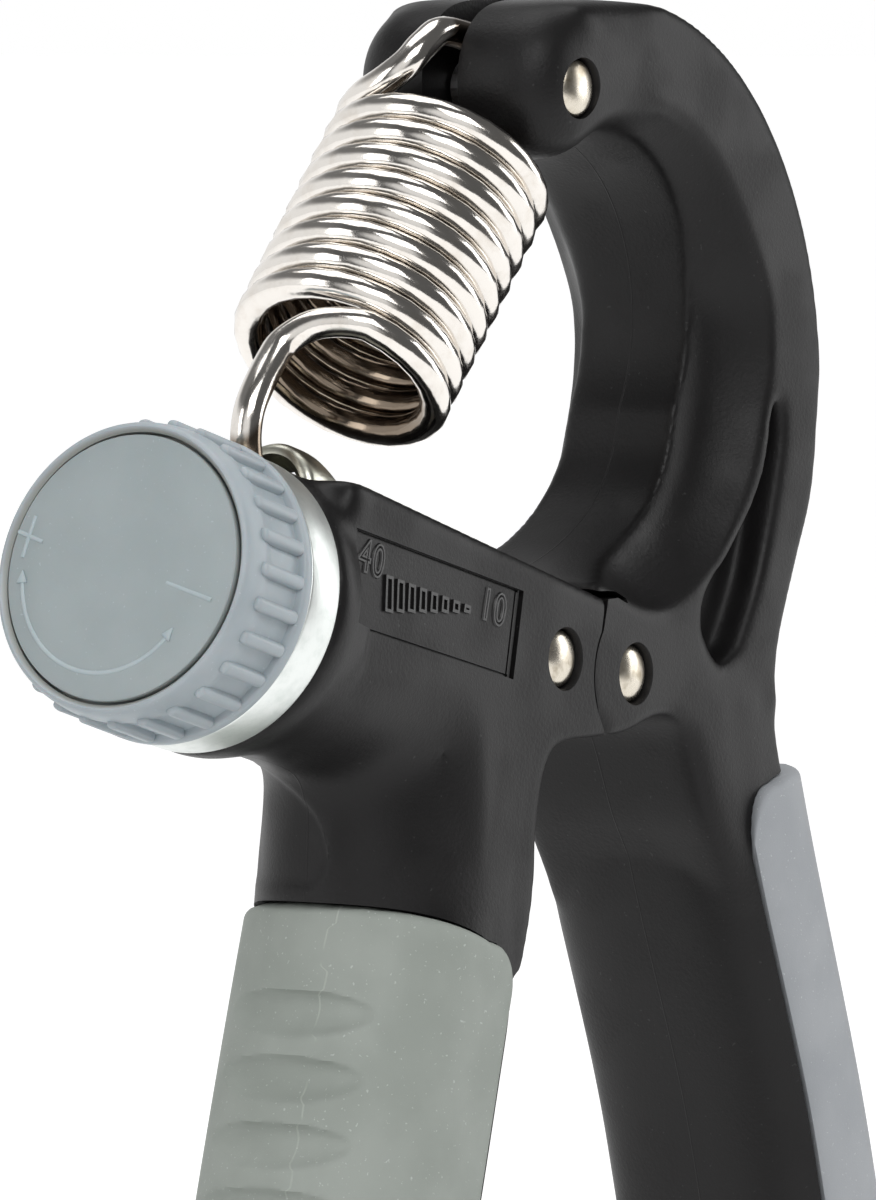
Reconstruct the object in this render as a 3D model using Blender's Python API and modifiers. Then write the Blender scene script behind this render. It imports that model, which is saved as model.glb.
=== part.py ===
"""Hand gripper with an adjustable spring: two moulded handles on one hinge pin.

Metres, +Z up, handles down, scale side at -Y. The origin is on the ground, under the middle.
Most shapes are drawn in the hinge frame: x to the right and z up from the seam's middle.
"""
import bmesh
import bpy
from math import atan2, cos, degrees, pi, radians, sin
from mathutils import Matrix, Vector

for old in list(bpy.data.objects):
    bpy.data.objects.remove(old, do_unlink=True)

mm = 0.001

# Clearances
gap = 0.3 * mm                       # between pieces that touch
wire_gap = 0.45 * mm                 # between turns of the spring

# Where the hinge frame sits
hinge_height = 95 * mm               # seam's middle above the ground
seam_x = -0.94 * mm

# Moulded bodies
body_thickness = 22 * mm
body_round = 2.6 * mm                # rounding of the arm's front and back edges
lever_round = 1.6 * mm               # and of the lever's
pin_spacing = 12 * mm                # link pin to hinge pin
pin_line_tilt = radians(-9.2)
seam_radius = 6.9 * mm               # round nose of the hub about the hinge pin

# Handles: oval outside, flatter inside, mirrored about one line
handle_middle_x = 6.8 * mm           # the line between the handles, from the seam
handle_half_depth = 12.5 * mm
handle_half_width = 12.3 * mm
handle_flat_depth = 9.2 * mm         # centre line to the flat inner side
handle_top_offset = 21.9 * mm        # centre line from the middle line, at handle_top_z
handle_top_z = -10 * mm
handle_spread = 0.345                # how fast the handles part, going down
handle_curve = 0.7                   # how fast they straighten again, per metre
foot_round = 2.0 * mm
neck_half_width = 10.7 * mm
lever_neck_outer_x = -31 * mm        # outside of the black neck under the barrel
arm_neck_outer_x = 33.4 * mm

# Grips: rubber let into the handles' outer side
grip_thickness = 2.2 * mm
grip_edge_angle = radians(116)       # how far round the handle each edge lies
grip_edge_gap = 2 * gap              # beside the edges, along the section
grip_proud = 1.2 * mm                # grip's face over the neck, at its top
grip_blend = 14 * mm                 # the core is as wide as the grip this far down
lever_grip_top_z = -19 * mm
arm_grip_top_z = -11 * mm
lever_top_lean = (3.0 * mm, 4)       # how far the top edge falls towards the inside, and how late
arm_top_lean = (7.5 * mm, 2)
lean_end = 34 * mm                   # level again, this far under the top
dimple_count = 10
dimple_spacing = 6.3 * mm
dimple_first_drop = 9.5 * mm         # first dimple below the lever grip's top
dimple_size = (2.2 * mm, 7.3 * mm, 2.0 * mm)   # half sizes: deep, along the finger, high
dimple_depth = 0.9 * mm

# C-shaped arm
arm_outer_centre = (6.0 * mm, 27.5 * mm)
arm_outer_radius = 32.4 * mm
arm_inner_centre = (5.5 * mm, 31.0 * mm)
arm_inner_radius = 17.1 * mm
rim_centre = (8.0 * mm, 30.0 * mm)
rim_radius = 20.5 * mm               # inside of the full-thickness rim
web_radius = 14.3 * mm               # where the side channel is deepest
web_thickness = 11.4 * mm

# Ears at the arm's tip
anchor_back = 9.0 * mm               # anchor pin, left of the arm's outer centre
anchor_drop = 7.9 * mm               # and under its top
anchor = (arm_outer_centre[0] - anchor_back, arm_outer_centre[1] + arm_outer_radius - anchor_drop)
ear_radius = 7.5 * mm
ear_lift = 0.5 * mm                  # ear's centre above the pin
ear_slot_width = 3.8 * mm
ear_slot_reach = 6.4 * mm            # slot's closed end past the pin

# Rivets
rivet_head_radius = 2.4 * mm
rivet_head_height = 1.5 * mm
rivet_dome = 0.6 * mm
rivet_sink = 0.5 * mm                # head's top under the body's face
rivet_shank_radius = 1.8 * mm

# Link plates between the lever and the hinge pin
plate_thickness = 2.0 * mm
plate_half_height = 4.6 * mm
plate_tail = 5.6 * mm                # past the link pin
plate_space = 4.6 * mm               # between the two plates
bush_wall = 1.9 * mm

# Barrel: the knob and the ring stand out from the nose along its axis
barrel_nose = (-45.683 * mm, 7.282 * mm)
barrel_tilt = radians(-15.2)
nose_radius = 13.3 * mm
barrel_top = 12.2 * mm               # block's top above the axis
barrel_low_side = 5.0 * mm           # where the flat sides end, under the axis
belly_radius = 12.4 * mm             # round underside at the nose
belly_end_radius = 11.7 * mm
belly_length = 16.0 * mm
belly_taper = 10.0 * mm

# Pieces along the barrel
knob_length = 9.6 * mm
knob_front_radius = 13.0 * mm
knob_rear_radius = 14.0 * mm
knob_flange_radius = 13.4 * mm
knob_flange_length = 1.6 * mm
knob_front_round = 1.0 * mm
knob_wall = 2.2 * mm
rib_count = 27
rib_height = 0.9 * mm
disc_radius = 11.6 * mm
disc_thickness = 1.2 * mm
disc_sink = 0.15 * mm                # disc's face under the knob's rim
collar_thickness = 4.6 * mm
collar_radius = 13.4 * mm
nose_wall = 3.0 * mm
screw_radius = 3.0 * mm
screw_pitch = 1.5 * mm
nut_travel = 15 * mm
washer_thickness = 0.8 * mm
clip_radius = 4.8 * mm
insert_wall = 1.6 * mm
knob_nut_radius = 5.2 * mm
knob_nut_height = 2.6 * mm
bearing_wall = 1.6 * mm
tail_bush_length = 2.6 * mm

# Travelling nut
nut_length = 8.1 * mm
nut_width = 10.0 * mm
nut_depth = 5.0 * mm                 # under the axis
eye_height = 11.0 * mm               # eye's centre above the axis
eye_radius = 4.8 * mm
eye_hole_radius = 2.9 * mm
eye_hole_depth = 6.2 * mm
hook_height = 10.5 * mm              # wire's centre in the eye, above the axis
hook_inset = 1.6 * mm                # wire's working point behind the eye's face
relief_width = 4.6 * mm              # notch for the hook in the barrel's nose

# Spring
wire = 2.5 * mm
coil_outer_radius = 10.2 * mm
coil_start = 9.4 * mm                # first turn's centre from the anchor pin
coil_turns = 8
coil_points = 10                     # points a turn
upper_leave = radians(130)           # where the wire leaves the coil at each end
lower_leave = radians(-135)
hook_radius = 6.2 * mm
leg_side = 9.0 * mm
anchor_bush_wall = 0.5 * mm

# Worked out from the sizes above
half = body_thickness / 2
pin_reach = Vector((cos(pin_line_tilt), 0, sin(pin_line_tilt))) * (pin_spacing / 2)
hinge_pin_at = pin_reach.copy()
link_pin_at = -pin_reach
anchor_at = Vector((anchor[0], 0, anchor[1]))
along = Vector((cos(barrel_tilt), 0, sin(barrel_tilt)))
above = Vector((-sin(barrel_tilt), 0, cos(barrel_tilt)))
collar_front = knob_length + gap
nose_front = collar_front + collar_thickness + gap
trough_front = nose_front + nose_wall
clip_front = trough_front + gap + washer_thickness + gap
nut_front = clip_front + washer_thickness + gap
trough_end = nut_front + nut_length + nut_travel + gap
screw_end = trough_end + tail_bush_length + gap
bush_radius = screw_radius + gap
bearing_radius = bush_radius + bearing_wall
plate_inner = plate_space / 2
slot_half = plate_inner + plate_thickness + gap
pin_bore = rivet_shank_radius + gap
foot_z = -hinge_height


def barrel_point(distance, height):
    """A point in the hinge frame, from its place behind the knob's face and above the axis."""
    nose = Vector((barrel_nose[0], 0, barrel_nose[1]))
    return nose + along * (distance - nose_front) + above * height


hook_point = barrel_point(nut_front + hook_inset, hook_height)
pull = hook_point - anchor_at
spring_length = pull.length
down = pull.normalized()
aside = Vector((-down.z, 0, down.x))


# Scene helpers

parts = bpy.data.collections.new("hand_gripper")
cutters = bpy.data.collections.new("cutters")
for collection in (parts, cutters):
    bpy.context.scene.collection.children.link(collection)


def material(name, colour, roughness, metallic=0.0):
    """A plain Principled material of one colour."""
    made = bpy.data.materials.new(name)
    made.use_nodes = True
    shader = made.node_tree.nodes["Principled BSDF"]
    shader.inputs["Base Color"].default_value = (*colour, 1)
    shader.inputs["Roughness"].default_value = roughness
    shader.inputs["Metallic"].default_value = metallic
    return made


black_nylon = material("black_nylon", (0.018, 0.018, 0.019), 0.45)
arm_rubber = material("arm_rubber", (0.30, 0.34, 0.38), 0.62)
lever_rubber = material("lever_rubber", (0.25, 0.28, 0.27), 0.62)
knob_plastic = material("knob_plastic", (0.34, 0.41, 0.46), 0.38)
zinc = material("zinc", (0.66, 0.68, 0.69), 0.34, 1.0)
nickel = material("nickel", (0.70, 0.67, 0.62), 0.16, 1.0)
plain_steel = material("plain_steel", (0.56, 0.56, 0.57), 0.30, 1.0)
brass = material("brass", (0.72, 0.55, 0.25), 0.30, 1.0)
oiled_nylon = material("oiled_nylon", (0.72, 0.70, 0.64), 0.50)


def empty(name, location, parent=None, rotation=None):
    """An empty that carries pieces on one axis. Its location is in the hinge frame."""
    made = bpy.data.objects.new(name, None)
    made.empty_display_size = 0.01
    parts.objects.link(made)
    made.parent = parent
    made.matrix_parent_inverse = Matrix.Identity(4)
    start = Vector(parent["place"]) if parent else Vector((0, 0, 0))
    made.location = Vector(location) - start
    if rotation:
        made.rotation_euler = rotation
    made["place"] = list(location)
    return made


seam = empty("seam", (0, 0, 0))
seam.location = (seam_x, 0, hinge_height)
hinge_axis = empty("hinge_axis", hinge_pin_at, seam)
anchor_axis = empty("anchor_axis", anchor_at, seam)
barrel_axis = empty("barrel_axis", barrel_point(0, 0), hinge_axis, (0, pi / 2 - barrel_tilt, 0))


def place(made, parent, surface=None, cutter=False, in_barrel=False):
    """Puts a mesh drawn in the hinge frame, or in the barrel's frame, under its parent."""
    home = cutters if cutter else parts
    for old_home in list(made.users_collection):
        old_home.objects.unlink(made)
    home.objects.link(made)
    made.parent = parent
    if not in_barrel:
        made.location = -Vector(parent["place"])
    if surface:
        made.data.materials.clear()
        made.data.materials.append(surface)
    if cutter:
        made.hide_render = True
        made.display_type = "WIRE"
    return made


def mesh_object(name, build):
    """A mesh object from a bmesh, with its faces pointing out."""
    bmesh.ops.recalc_face_normals(build, faces=build.faces[:])
    mesh = bpy.data.meshes.new(name)
    build.to_mesh(mesh)
    build.free()
    made = bpy.data.objects.new(name, mesh)
    bpy.context.scene.collection.objects.link(made)
    return made


def smooth(made, angle=35):
    """Smooth shading with sharp edges past an angle."""
    made.data.shade_smooth()
    made.data.set_sharp_from_angle(angle=radians(angle))
    return made


def cut(target, cutter, operation="DIFFERENCE"):
    """A live Boolean with the exact solver."""
    modifier = target.modifiers.new(cutter.name, "BOOLEAN")
    modifier.operation = operation
    modifier.solver = "EXACT"
    modifier.object = cutter
    return target


def bevel(made, width, segments=2, angle=40):
    """Rounds the edges that are sharper than an angle."""
    modifier = made.modifiers.new("edges", "BEVEL")
    modifier.width = width
    modifier.segments = segments
    modifier.limit_method = "ANGLE"
    modifier.angle_limit = radians(angle)
    return made


def turned(name, profile, steps=32):
    """A turned piece about Z. The profile is (radius, height), outer side from top to bottom."""
    mesh = bpy.data.meshes.new(name)
    points = [(radius, 0, height) for radius, height in profile]
    closed = min(radius for radius, height in profile) > 0
    count = len(points)
    edges = [(i, (i + 1) % count) for i in range(count if closed else count - 1)]
    mesh.from_pydata(points, edges, [])
    made = bpy.data.objects.new(name, mesh)
    bpy.context.scene.collection.objects.link(made)
    screw = made.modifiers.new("turn", "SCREW")
    screw.axis = "Z"
    screw.steps = steps
    screw.render_steps = steps
    screw.use_merge_vertices = True
    screw.merge_threshold = 0.00001
    weld = made.modifiers.new("weld", "WELD")
    weld.merge_threshold = 0.00001
    return made


def ring_profile(inner, outer, low, high, chamfer=0.0):
    """The profile of a plain ring, whose outer edges may be chamfered."""
    if not chamfer:
        return [(inner, high), (outer, high), (outer, low), (inner, low)]
    return [(inner, high), (outer - chamfer, high), (outer, high - chamfer),
            (outer, low + chamfer), (outer - chamfer, low), (inner, low)]


def rod_profile(radius, low, high, chamfer=0.0):
    """The profile of a solid rod, whose ends may be chamfered."""
    if not chamfer:
        return [(0, high), (radius, high), (radius, low), (0, low)]
    return [(0, high), (radius - chamfer, high), (radius, high - chamfer),
            (radius, low + chamfer), (radius - chamfer, low), (0, low)]


def plate(name, outline, low_y, high_y):
    """A flat outline in x and z, drawn as a filled curve and given its thickness along y."""
    curve = bpy.data.curves.new(name, "CURVE")
    curve.dimensions = "2D"
    curve.fill_mode = "BOTH"
    curve.extrude = (high_y - low_y) / 2
    spline = curve.splines.new("POLY")
    spline.points.add(len(outline) - 1)
    spline.use_cyclic_u = True
    for point, (x, z) in zip(spline.points, outline):
        point.co = (x, z, 0, 1)
    drawn = bpy.data.objects.new(name + "_outline", curve)
    bpy.context.scene.collection.objects.link(drawn)
    bpy.context.view_layer.update()
    seen = drawn.evaluated_get(bpy.context.evaluated_depsgraph_get())
    mesh = bpy.data.meshes.new_from_object(seen)
    bpy.data.objects.remove(drawn)
    build = bmesh.new()
    build.from_mesh(mesh)
    bmesh.ops.remove_doubles(build, verts=build.verts[:], dist=0.000001)
    bmesh.ops.dissolve_limit(build, angle_limit=radians(0.5), verts=build.verts[:],
                             edges=build.edges[:])
    turn = Matrix.Translation((0, (low_y + high_y) / 2, 0)) @ Matrix.Rotation(pi / 2, 4, "X")
    bmesh.ops.transform(build, matrix=turn, verts=build.verts[:])
    return mesh_object(name, build)


def block(name, low, high):
    """A box between two corners."""
    build = bmesh.new()
    size = Vector(high) - Vector(low)
    middle = (Vector(high) + Vector(low)) / 2
    matrix = Matrix.Translation(middle) @ Matrix.Diagonal((*size, 1))
    bmesh.ops.create_cube(build, size=1, matrix=matrix)
    return mesh_object(name, build)


def disc_across(name, centre, radius, low_y, high_y, sides=32):
    """A cylinder along Y."""
    build = bmesh.new()
    matrix = Matrix.Translation((centre[0], (low_y + high_y) / 2, centre[2]))
    matrix = matrix @ Matrix.Rotation(pi / 2, 4, "X")
    bmesh.ops.create_cone(build, cap_ends=True, segments=sides, radius1=radius, radius2=radius,
                          depth=high_y - low_y, matrix=matrix)
    return mesh_object(name, build)


def loft(name, rings):
    """A closed body through unlike sections with equal counts of points."""
    build = bmesh.new()
    rows = [[build.verts.new(point) for point in ring] for ring in rings]
    for lower, upper in zip(rows, rows[1:]):
        for i in range(len(lower)):
            j = (i + 1) % len(lower)
            build.faces.new((lower[i], lower[j], upper[j], upper[i]))
    build.faces.new(rows[0])
    build.faces.new(rows[-1])
    return mesh_object(name, build)


def arc(centre, radius, start, end, count):
    """Points on an arc, both ends included. Angles in degrees."""
    found = []
    for i in range(count + 1):
        angle = radians(start + (end - start) * i / count)
        found.append((centre[0] + radius * cos(angle), centre[1] + radius * sin(angle)))
    return found


def flowing(points, steps):
    """A smooth Catmull-Rom line through points, given as tuples of numbers."""
    first = [2 * a - b for a, b in zip(points[0], points[1])]
    last = [2 * a - b for a, b in zip(points[-1], points[-2])]
    held = [first, *points, last]
    found = []
    for k in range(1, len(held) - 2):
        for i in range(steps):
            t = i / steps
            found.append(tuple(
                0.5 * (2 * b + (c - a) * t + (2 * a - 5 * b + 4 * c - d) * t ** 2
                       + (3 * b - a - 3 * c + d) * t ** 3)
                for a, b, c, d in zip(*held[k - 1:k + 3])))
    found.append(tuple(points[-1]))
    return found


# Handles and grips

def handle_offset(z):
    """How far a handle's centre line lies from the line between the handles."""
    drop = handle_top_z - z
    return handle_top_offset + handle_spread * drop - handle_curve * drop * drop


def handle_point(angle, z, side, inset=0.0, outer=None, half_width=None, shrink=0.0):
    """A point of the handle's section. Angle 0 is outermost, and side is -1 for the lever."""
    middle = handle_middle_x + side * handle_offset(z)
    depth = handle_half_depth if outer is None else abs(outer - middle)
    width = handle_half_width if half_width is None else half_width
    outward, across = cos(angle), sin(angle)
    if outward >= 0:
        x = (depth - inset - shrink) * outward
        y = (width - inset - shrink) * across
    else:
        x = -(handle_flat_depth - inset - shrink) * abs(outward) ** 0.6
        y = (width - inset - shrink) * abs(across) ** 0.6 * (1 if across > 0 else -1)
    return Vector((middle + side * x, y, z))


outer_count = 14
inner_count = 10


def leaning(angle, base, top, lean):
    """The height of a ring's point. The upper rings fall towards the handle's inner side."""
    fall, power = lean
    share = min(1.0, abs(angle) / grip_edge_angle) ** power
    left = min(1.0, max(0.0, 1 - (top - base) / lean_end))
    return base - fall * share * left


def bare_width(base, top):
    """Half the width of the black part, which starts narrower than the grip."""
    down_share = min(1.0, max(0.0, (top - base) / grip_blend))
    return neck_half_width + (handle_half_width - neck_half_width) * down_share


def handle_stations(top):
    """Heights of the sections from the grip's top to the foot."""
    lowest = foot_z + foot_round
    shares = (0.0, 0.03, 0.1, 0.25, 0.4, 0.55, 0.7, 0.85, 1.0)
    return [top - (top - lowest) * share for share in shares] + [foot_z]


def signed(angle):
    """The same angle between minus and plus half a turn."""
    return (angle + pi) % (2 * pi) - pi


def core_section(base, side, top, lean, recessed, outer=None, shown=1.0):
    """One ring of a handle: the bare inner side, then the part that lies under the grip."""
    shrink = foot_round * 0.6 if base <= foot_z else 0.0
    edge = grip_edge_angle + grip_edge_gap / handle_half_width
    bare = bare_width(base, top)
    ring = []
    for i in range(inner_count + 1):
        angle = edge + (2 * pi - 2 * edge) * i / inner_count
        z = leaning(signed(angle), base, top, (lean[0] * shown, lean[1]))
        ring.append(handle_point(angle, z, side, 0, None, bare, shrink))
    for i in range(outer_count + 1):
        angle = -edge + 2 * edge * i / outer_count
        z = leaning(angle, base, top, (lean[0] * shown, lean[1]))
        if recessed:
            ring.append(handle_point(angle, z, side, grip_thickness + gap, None, None, shrink))
        else:
            ring.append(handle_point(angle, z, side, 0.01 * mm, outer, bare, shrink))
    return ring


def handle_core(name, side, top, lean, neck_outer, neck_top):
    """The black handle: a neck, then the recess that the grip fills, down to the foot."""
    low = top + gap
    under = handle_middle_x + side * (handle_offset(low) + handle_half_depth - grip_proud)
    rings = []
    for share in (0.0, 0.5, 1.0):
        base = neck_top + (low - neck_top) * share
        outer = neck_outer + (under - neck_outer) * share ** 2
        rings.append(core_section(base, side, top, lean, False, outer, share))
    rings += [core_section(base, side, top, lean, True) for base in handle_stations(top)]
    return loft(name, rings)


def grip_section(base, side, top, lean, thin=0.0):
    """One ring of a grip: its outside from edge to edge, then its inside back again."""
    reach = grip_edge_angle
    shrink = foot_round * 0.6 if base <= foot_z else 0.0
    angles = [-reach + 2 * reach * i / outer_count for i in range(outer_count + 1)]
    outside = [handle_point(a, leaning(a, base, top, lean), side, thin, None, None, shrink)
               for a in angles]
    inside = [handle_point(a, leaning(a, base, top, lean), side, grip_thickness, None, None, shrink)
              for a in reversed(angles)]
    return outside + inside


def grip(name, side, top, lean, surface, parent):
    """A rubber grip, with a row of finger dimples down its outer side."""
    rings = [grip_section(base, side, top, lean, 0.7 * mm if base == top else 0.0)
             for base in handle_stations(top)]
    made = place(loft(name, rings), parent, surface)
    rows = bmesh.new()
    for i in range(dimple_count):
        z = lever_grip_top_z - dimple_first_drop - dimple_spacing * i
        middle = handle_point(0, z, side)
        centre = middle + Vector((side * (dimple_size[0] - dimple_depth), 0, 0))
        matrix = Matrix.Translation(centre) @ Matrix.Diagonal((*dimple_size, 1))
        bmesh.ops.create_uvsphere(rows, u_segments=12, v_segments=8, radius=1, matrix=matrix)
    dimples = place(mesh_object(name + "_dimples", rows), parent, cutter=True)
    cut(made, dimples)
    return smooth(made)


# Arm: C, hub and right handle

def rivet_hole(target, name, centre, parent):
    """A through hole with a wider counterbore at each face for a rivet's heads."""
    floor = half - rivet_sink - rivet_head_height - gap
    wide = rivet_head_radius + gap
    outside = half + mm
    profile = [(0, outside), (wide, outside), (wide, floor), (pin_bore, floor),
               (pin_bore, -floor), (wide, -floor), (wide, -outside), (0, -outside)]
    spool = turned(name, profile, 24)
    spool.rotation_euler = (pi / 2, 0, 0)
    place(spool, parent, cutter=True, in_barrel=True)
    spool.location = Vector(centre) - Vector(parent["place"])
    cut(target, spool)


def make_arm():
    """The C-shaped arm with its hub and handle."""
    hinge = (hinge_pin_at.x, hinge_pin_at.z)
    inner = arc(arm_inner_centre, arm_inner_radius, 122, -36, 12)
    saddle = [inner[-1], (17.4 * mm, 16.8 * mm), (14.2 * mm, 13.4 * mm), (9.8 * mm, 10.6 * mm),
              (5.0 * mm, 8.6 * mm), (1.9 * mm, 7.7 * mm)]
    nose = arc(hinge, seam_radius, 122, 236, 9)
    under = [(5.5 * mm, -6.2 * mm), (9.5 * mm, -5.2 * mm), (12.8 * mm, -5.3 * mm),
             (15.2 * mm, -7.0 * mm), (16.8 * mm, -9.6 * mm), (17.4 * mm, arm_grip_top_z + gap)]
    outer_low = (33.4 * mm, arm_grip_top_z + gap)
    waist = [outer_low, (32.2 * mm, -4 * mm), (32.3 * mm, 2 * mm), (34.2 * mm, 9.5 * mm),
             (36.9 * mm, 17.5 * mm)]
    outer = arc(arm_outer_centre, arm_outer_radius, -6, 90, 12)
    top = [(anchor[0], anchor[1] + ear_lift + ear_radius)]
    tip = [(anchor[0] - 1 * mm, anchor[1] + 1 * mm)]
    outline = (inner[:-1] + flowing(saddle, 2)[:-1] + [saddle[-1]] + nose + under
               + flowing(waist + [outer[0]], 2)[:-1] + outer + top + tip)
    arm = place(plate("arm_handle", outline, -half, half), hinge_axis, black_nylon)
    arm.parent = seam
    arm.location = (0, 0, 0)
    bevel(arm, body_round)
    rivet_hole(arm, "hinge_hole", hinge_pin_at, seam)

    low = web_thickness / 2
    slope = [(web_radius, low), (web_radius + 1.8 * mm, low + 0.7 * mm),
             (rim_radius - 1.6 * mm, half - 1.6 * mm), (rim_radius, half + 0.4 * mm)]
    profile = [(4 * mm, half + 0.4 * mm)] + slope[::-1] + [(4 * mm, low)]
    for label, turn in (("front", pi / 2), ("rear", -pi / 2)):
        channel = turned("channel_" + label, profile, 40)
        channel.rotation_euler = (turn, 0, 0)
        place(channel, seam, cutter=True, in_barrel=True)
        channel.location = (rim_centre[0], 0, rim_centre[1])
        cut(arm, channel)

    ear_centre = anchor_at + Vector((0, 0, ear_lift))
    ear = place(disc_across("ear_boss", ear_centre, ear_radius, -half, half, 28), seam, cutter=True)
    bevel(ear, body_round)
    cut(arm, ear, "UNION")
    core = handle_core("arm_core", 1, arm_grip_top_z, arm_top_lean, arm_neck_outer_x, 0)
    cut(arm, place(core, seam, cutter=True), "UNION")

    slot_low = (anchor[0] - 14 * mm, -ear_slot_width / 2, anchor[1] - 12 * mm)
    slot_high = (anchor[0] + ear_slot_reach, ear_slot_width / 2, anchor[1] + 12 * mm)
    cut(arm, place(block("ear_slot", slot_low, slot_high), seam, cutter=True))
    link_slot = arc(hinge, plate_half_height + 2 * gap, 90, -90, 10)
    link_slot += [(hinge[0] - 2 * mm, -14 * mm), (-4 * mm, -14 * mm),
                  (-4 * mm, hinge[1] + plate_half_height + 2 * gap)]
    pocket = plate("hub_slot", link_slot, -slot_half, slot_half)
    cut(arm, place(pocket, seam, cutter=True))
    rivet_hole(arm, "anchor_hole", anchor_at, seam)
    return smooth(arm)


# Lever: barrel block and left handle

def barrel_plate_point(distance, height):
    """A barrel place as an x and z pair for an outline."""
    point = barrel_point(distance, height)
    return (point.x, point.z)


def barrel_block(name, low, high):
    """A box in the barrel's frame: along, across and above."""
    made = block(name, (-high[2], low[1], low[0]), (-low[2], high[1], high[0]))
    return place(made, barrel_axis, cutter=True, in_barrel=True)


def make_lever():
    """The barrel block with its handle, hollowed for the screw, the nut and the link."""
    hinge = (hinge_pin_at.x, hinge_pin_at.z)
    block_front = nose_front + 2.2 * mm
    seam_arc = arc(hinge, seam_radius + gap, 131, 200, 4)
    outline = [barrel_plate_point(block_front, barrel_top), (-0.4 * mm, 6.2 * mm)] + seam_arc
    outline += [(-0.7 * mm, -6.5 * mm), (-6.8 * mm, -6.6 * mm), (-8.3 * mm, -7.6 * mm),
                (-9.4 * mm, -10 * mm), (-10.4 * mm, lever_grip_top_z + gap),
                (-20.5 * mm, lever_grip_top_z + gap), (-20.7 * mm, -14 * mm),
                (-22.0 * mm, -8.0 * mm),
                barrel_plate_point(block_front + belly_length, -barrel_low_side),
                barrel_plate_point(block_front, -barrel_low_side)]
    lever = place(plate("lever_handle", outline, -half, half), hinge_axis, black_nylon)
    bevel(lever, lever_round)
    rivet_hole(lever, "link_hole", link_pin_at, hinge_axis)

    nose = turned("nose", rod_profile(nose_radius, nose_front, nose_front + 6.2 * mm, 0.5 * mm), 40)
    cut(lever, place(nose, barrel_axis, cutter=True, in_barrel=True), "UNION")
    belly_end = nose_front + belly_length
    belly = turned("belly", [(0, nose_front + mm), (belly_radius, nose_front + mm),
                             (belly_end_radius, belly_end),
                             (belly_end_radius * 0.7, belly_end + belly_taper),
                             (0, belly_end + belly_taper)], 40)
    place(belly, barrel_axis, cutter=True, in_barrel=True)
    sides = barrel_block("belly_sides", (nose_front - mm, -half, -2 * belly_radius),
                         (belly_end + 2 * belly_taper, half, barrel_low_side))
    cut(belly, sides, "INTERSECT")
    cut(lever, belly, "UNION")
    core = handle_core("lever_core", -1, lever_grip_top_z, lever_top_lean, lever_neck_outer_x,
                       -7 * mm)
    cut(lever, place(core, hinge_axis, cutter=True), "UNION")

    side = nut_width / 2 + gap
    trough = barrel_block("trough", (trough_front, -side, -nut_depth - gap),
                          (trough_end, side, 2 * barrel_top))
    cut(lever, trough)
    relief = barrel_block("hook_relief", (nose_front + 0.6 * mm, -relief_width / 2, 8.6 * mm),
                          (trough_front + mm, relief_width / 2, 2 * barrel_top))
    cut(lever, relief)
    bore = turned("nose_bore", rod_profile(bearing_radius + gap, nose_front - mm,
                                           trough_front + mm), 28)
    cut(lever, place(bore, barrel_axis, cutter=True, in_barrel=True))
    tail = turned("tail_bore", rod_profile(bearing_radius + gap, trough_end - mm,
                                           screw_end + 2 * gap), 28)
    cut(lever, place(tail, barrel_axis, cutter=True, in_barrel=True))

    link_x, link_z = link_pin_at.x, link_pin_at.z
    reach = plate_half_height + gap
    pocket = plate("link_pocket", [(link_x - plate_tail - gap, link_z - reach),
                                   (link_x - plate_tail - gap, link_z + reach),
                                   (2 * mm, link_z + reach - mm), (2 * mm, link_z - reach - 1.6 * mm)],
                   -slot_half, slot_half)
    cut(lever, place(pocket, hinge_axis, cutter=True))

    left, right = nose_front + 4.8 * mm, nose_front + 31.8 * mm
    panel = [barrel_plate_point(left, 8.0 * mm), barrel_plate_point(right, 8.0 * mm),
             barrel_plate_point(right, 0.4 * mm), barrel_plate_point(left, 0.4 * mm)]
    scale = plate("scale_panel", panel, -half - mm, -half + 0.35 * mm)
    cut(lever, place(scale, hinge_axis, cutter=True))
    return smooth(lever)


# Rivets, plates and bushes

def rivet(name, centre, parent, surface):
    """A rivet along Y with a domed head at each end, sunk under the body's faces."""
    end = half - rivet_sink
    under = end - rivet_head_height
    profile = [(0, end), (rivet_head_radius * 0.55, end - rivet_dome * 0.3),
               (rivet_head_radius * 0.88, end - rivet_dome * 0.75),
               (rivet_head_radius, end - rivet_dome * 1.2), (rivet_head_radius, under),
               (rivet_shank_radius, under)]
    profile += [(radius, -height) for radius, height in reversed(profile)]
    made = turned(name, profile, 24)
    made.rotation_euler = (pi / 2, 0, 0)
    place(made, parent, surface, in_barrel=True)
    made.location = Vector(centre) - Vector(parent["place"])
    return smooth(made)


def bush(name, centre, parent, surface, inner, wall, half_length, steps=24):
    """A sleeve along Y on a rivet."""
    made = turned(name, ring_profile(inner, inner + wall, -half_length, half_length), steps)
    made.rotation_euler = (pi / 2, 0, 0)
    place(made, parent, surface, in_barrel=True)
    made.location = Vector(centre) - Vector(parent["place"])
    return smooth(made)


def link_plate(name, side):
    """A steel plate fixed in the lever, with its eye on the hinge pin."""
    hinge = (hinge_pin_at.x, hinge_pin_at.z)
    reach = plate_half_height
    tail_x = link_pin_at.x - plate_tail
    outline = arc(hinge, reach, 80, -100, 10)
    outline += [(tail_x, link_pin_at.z - reach), (tail_x, link_pin_at.z + reach - 0.4 * mm)]
    low = plate_inner if side > 0 else -plate_inner - plate_thickness
    made = place(plate(name, outline, low, low + plate_thickness), hinge_axis, plain_steel)
    for label, centre in (("hinge", hinge_pin_at), ("link", link_pin_at)):
        hole = disc_across(f"{name}_{label}_hole", centre, pin_bore, low - mm,
                           low + plate_thickness + mm, 20)
        cut(made, place(hole, hinge_axis, cutter=True))
    return smooth(made)


# Knob, screw and nut

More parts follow.
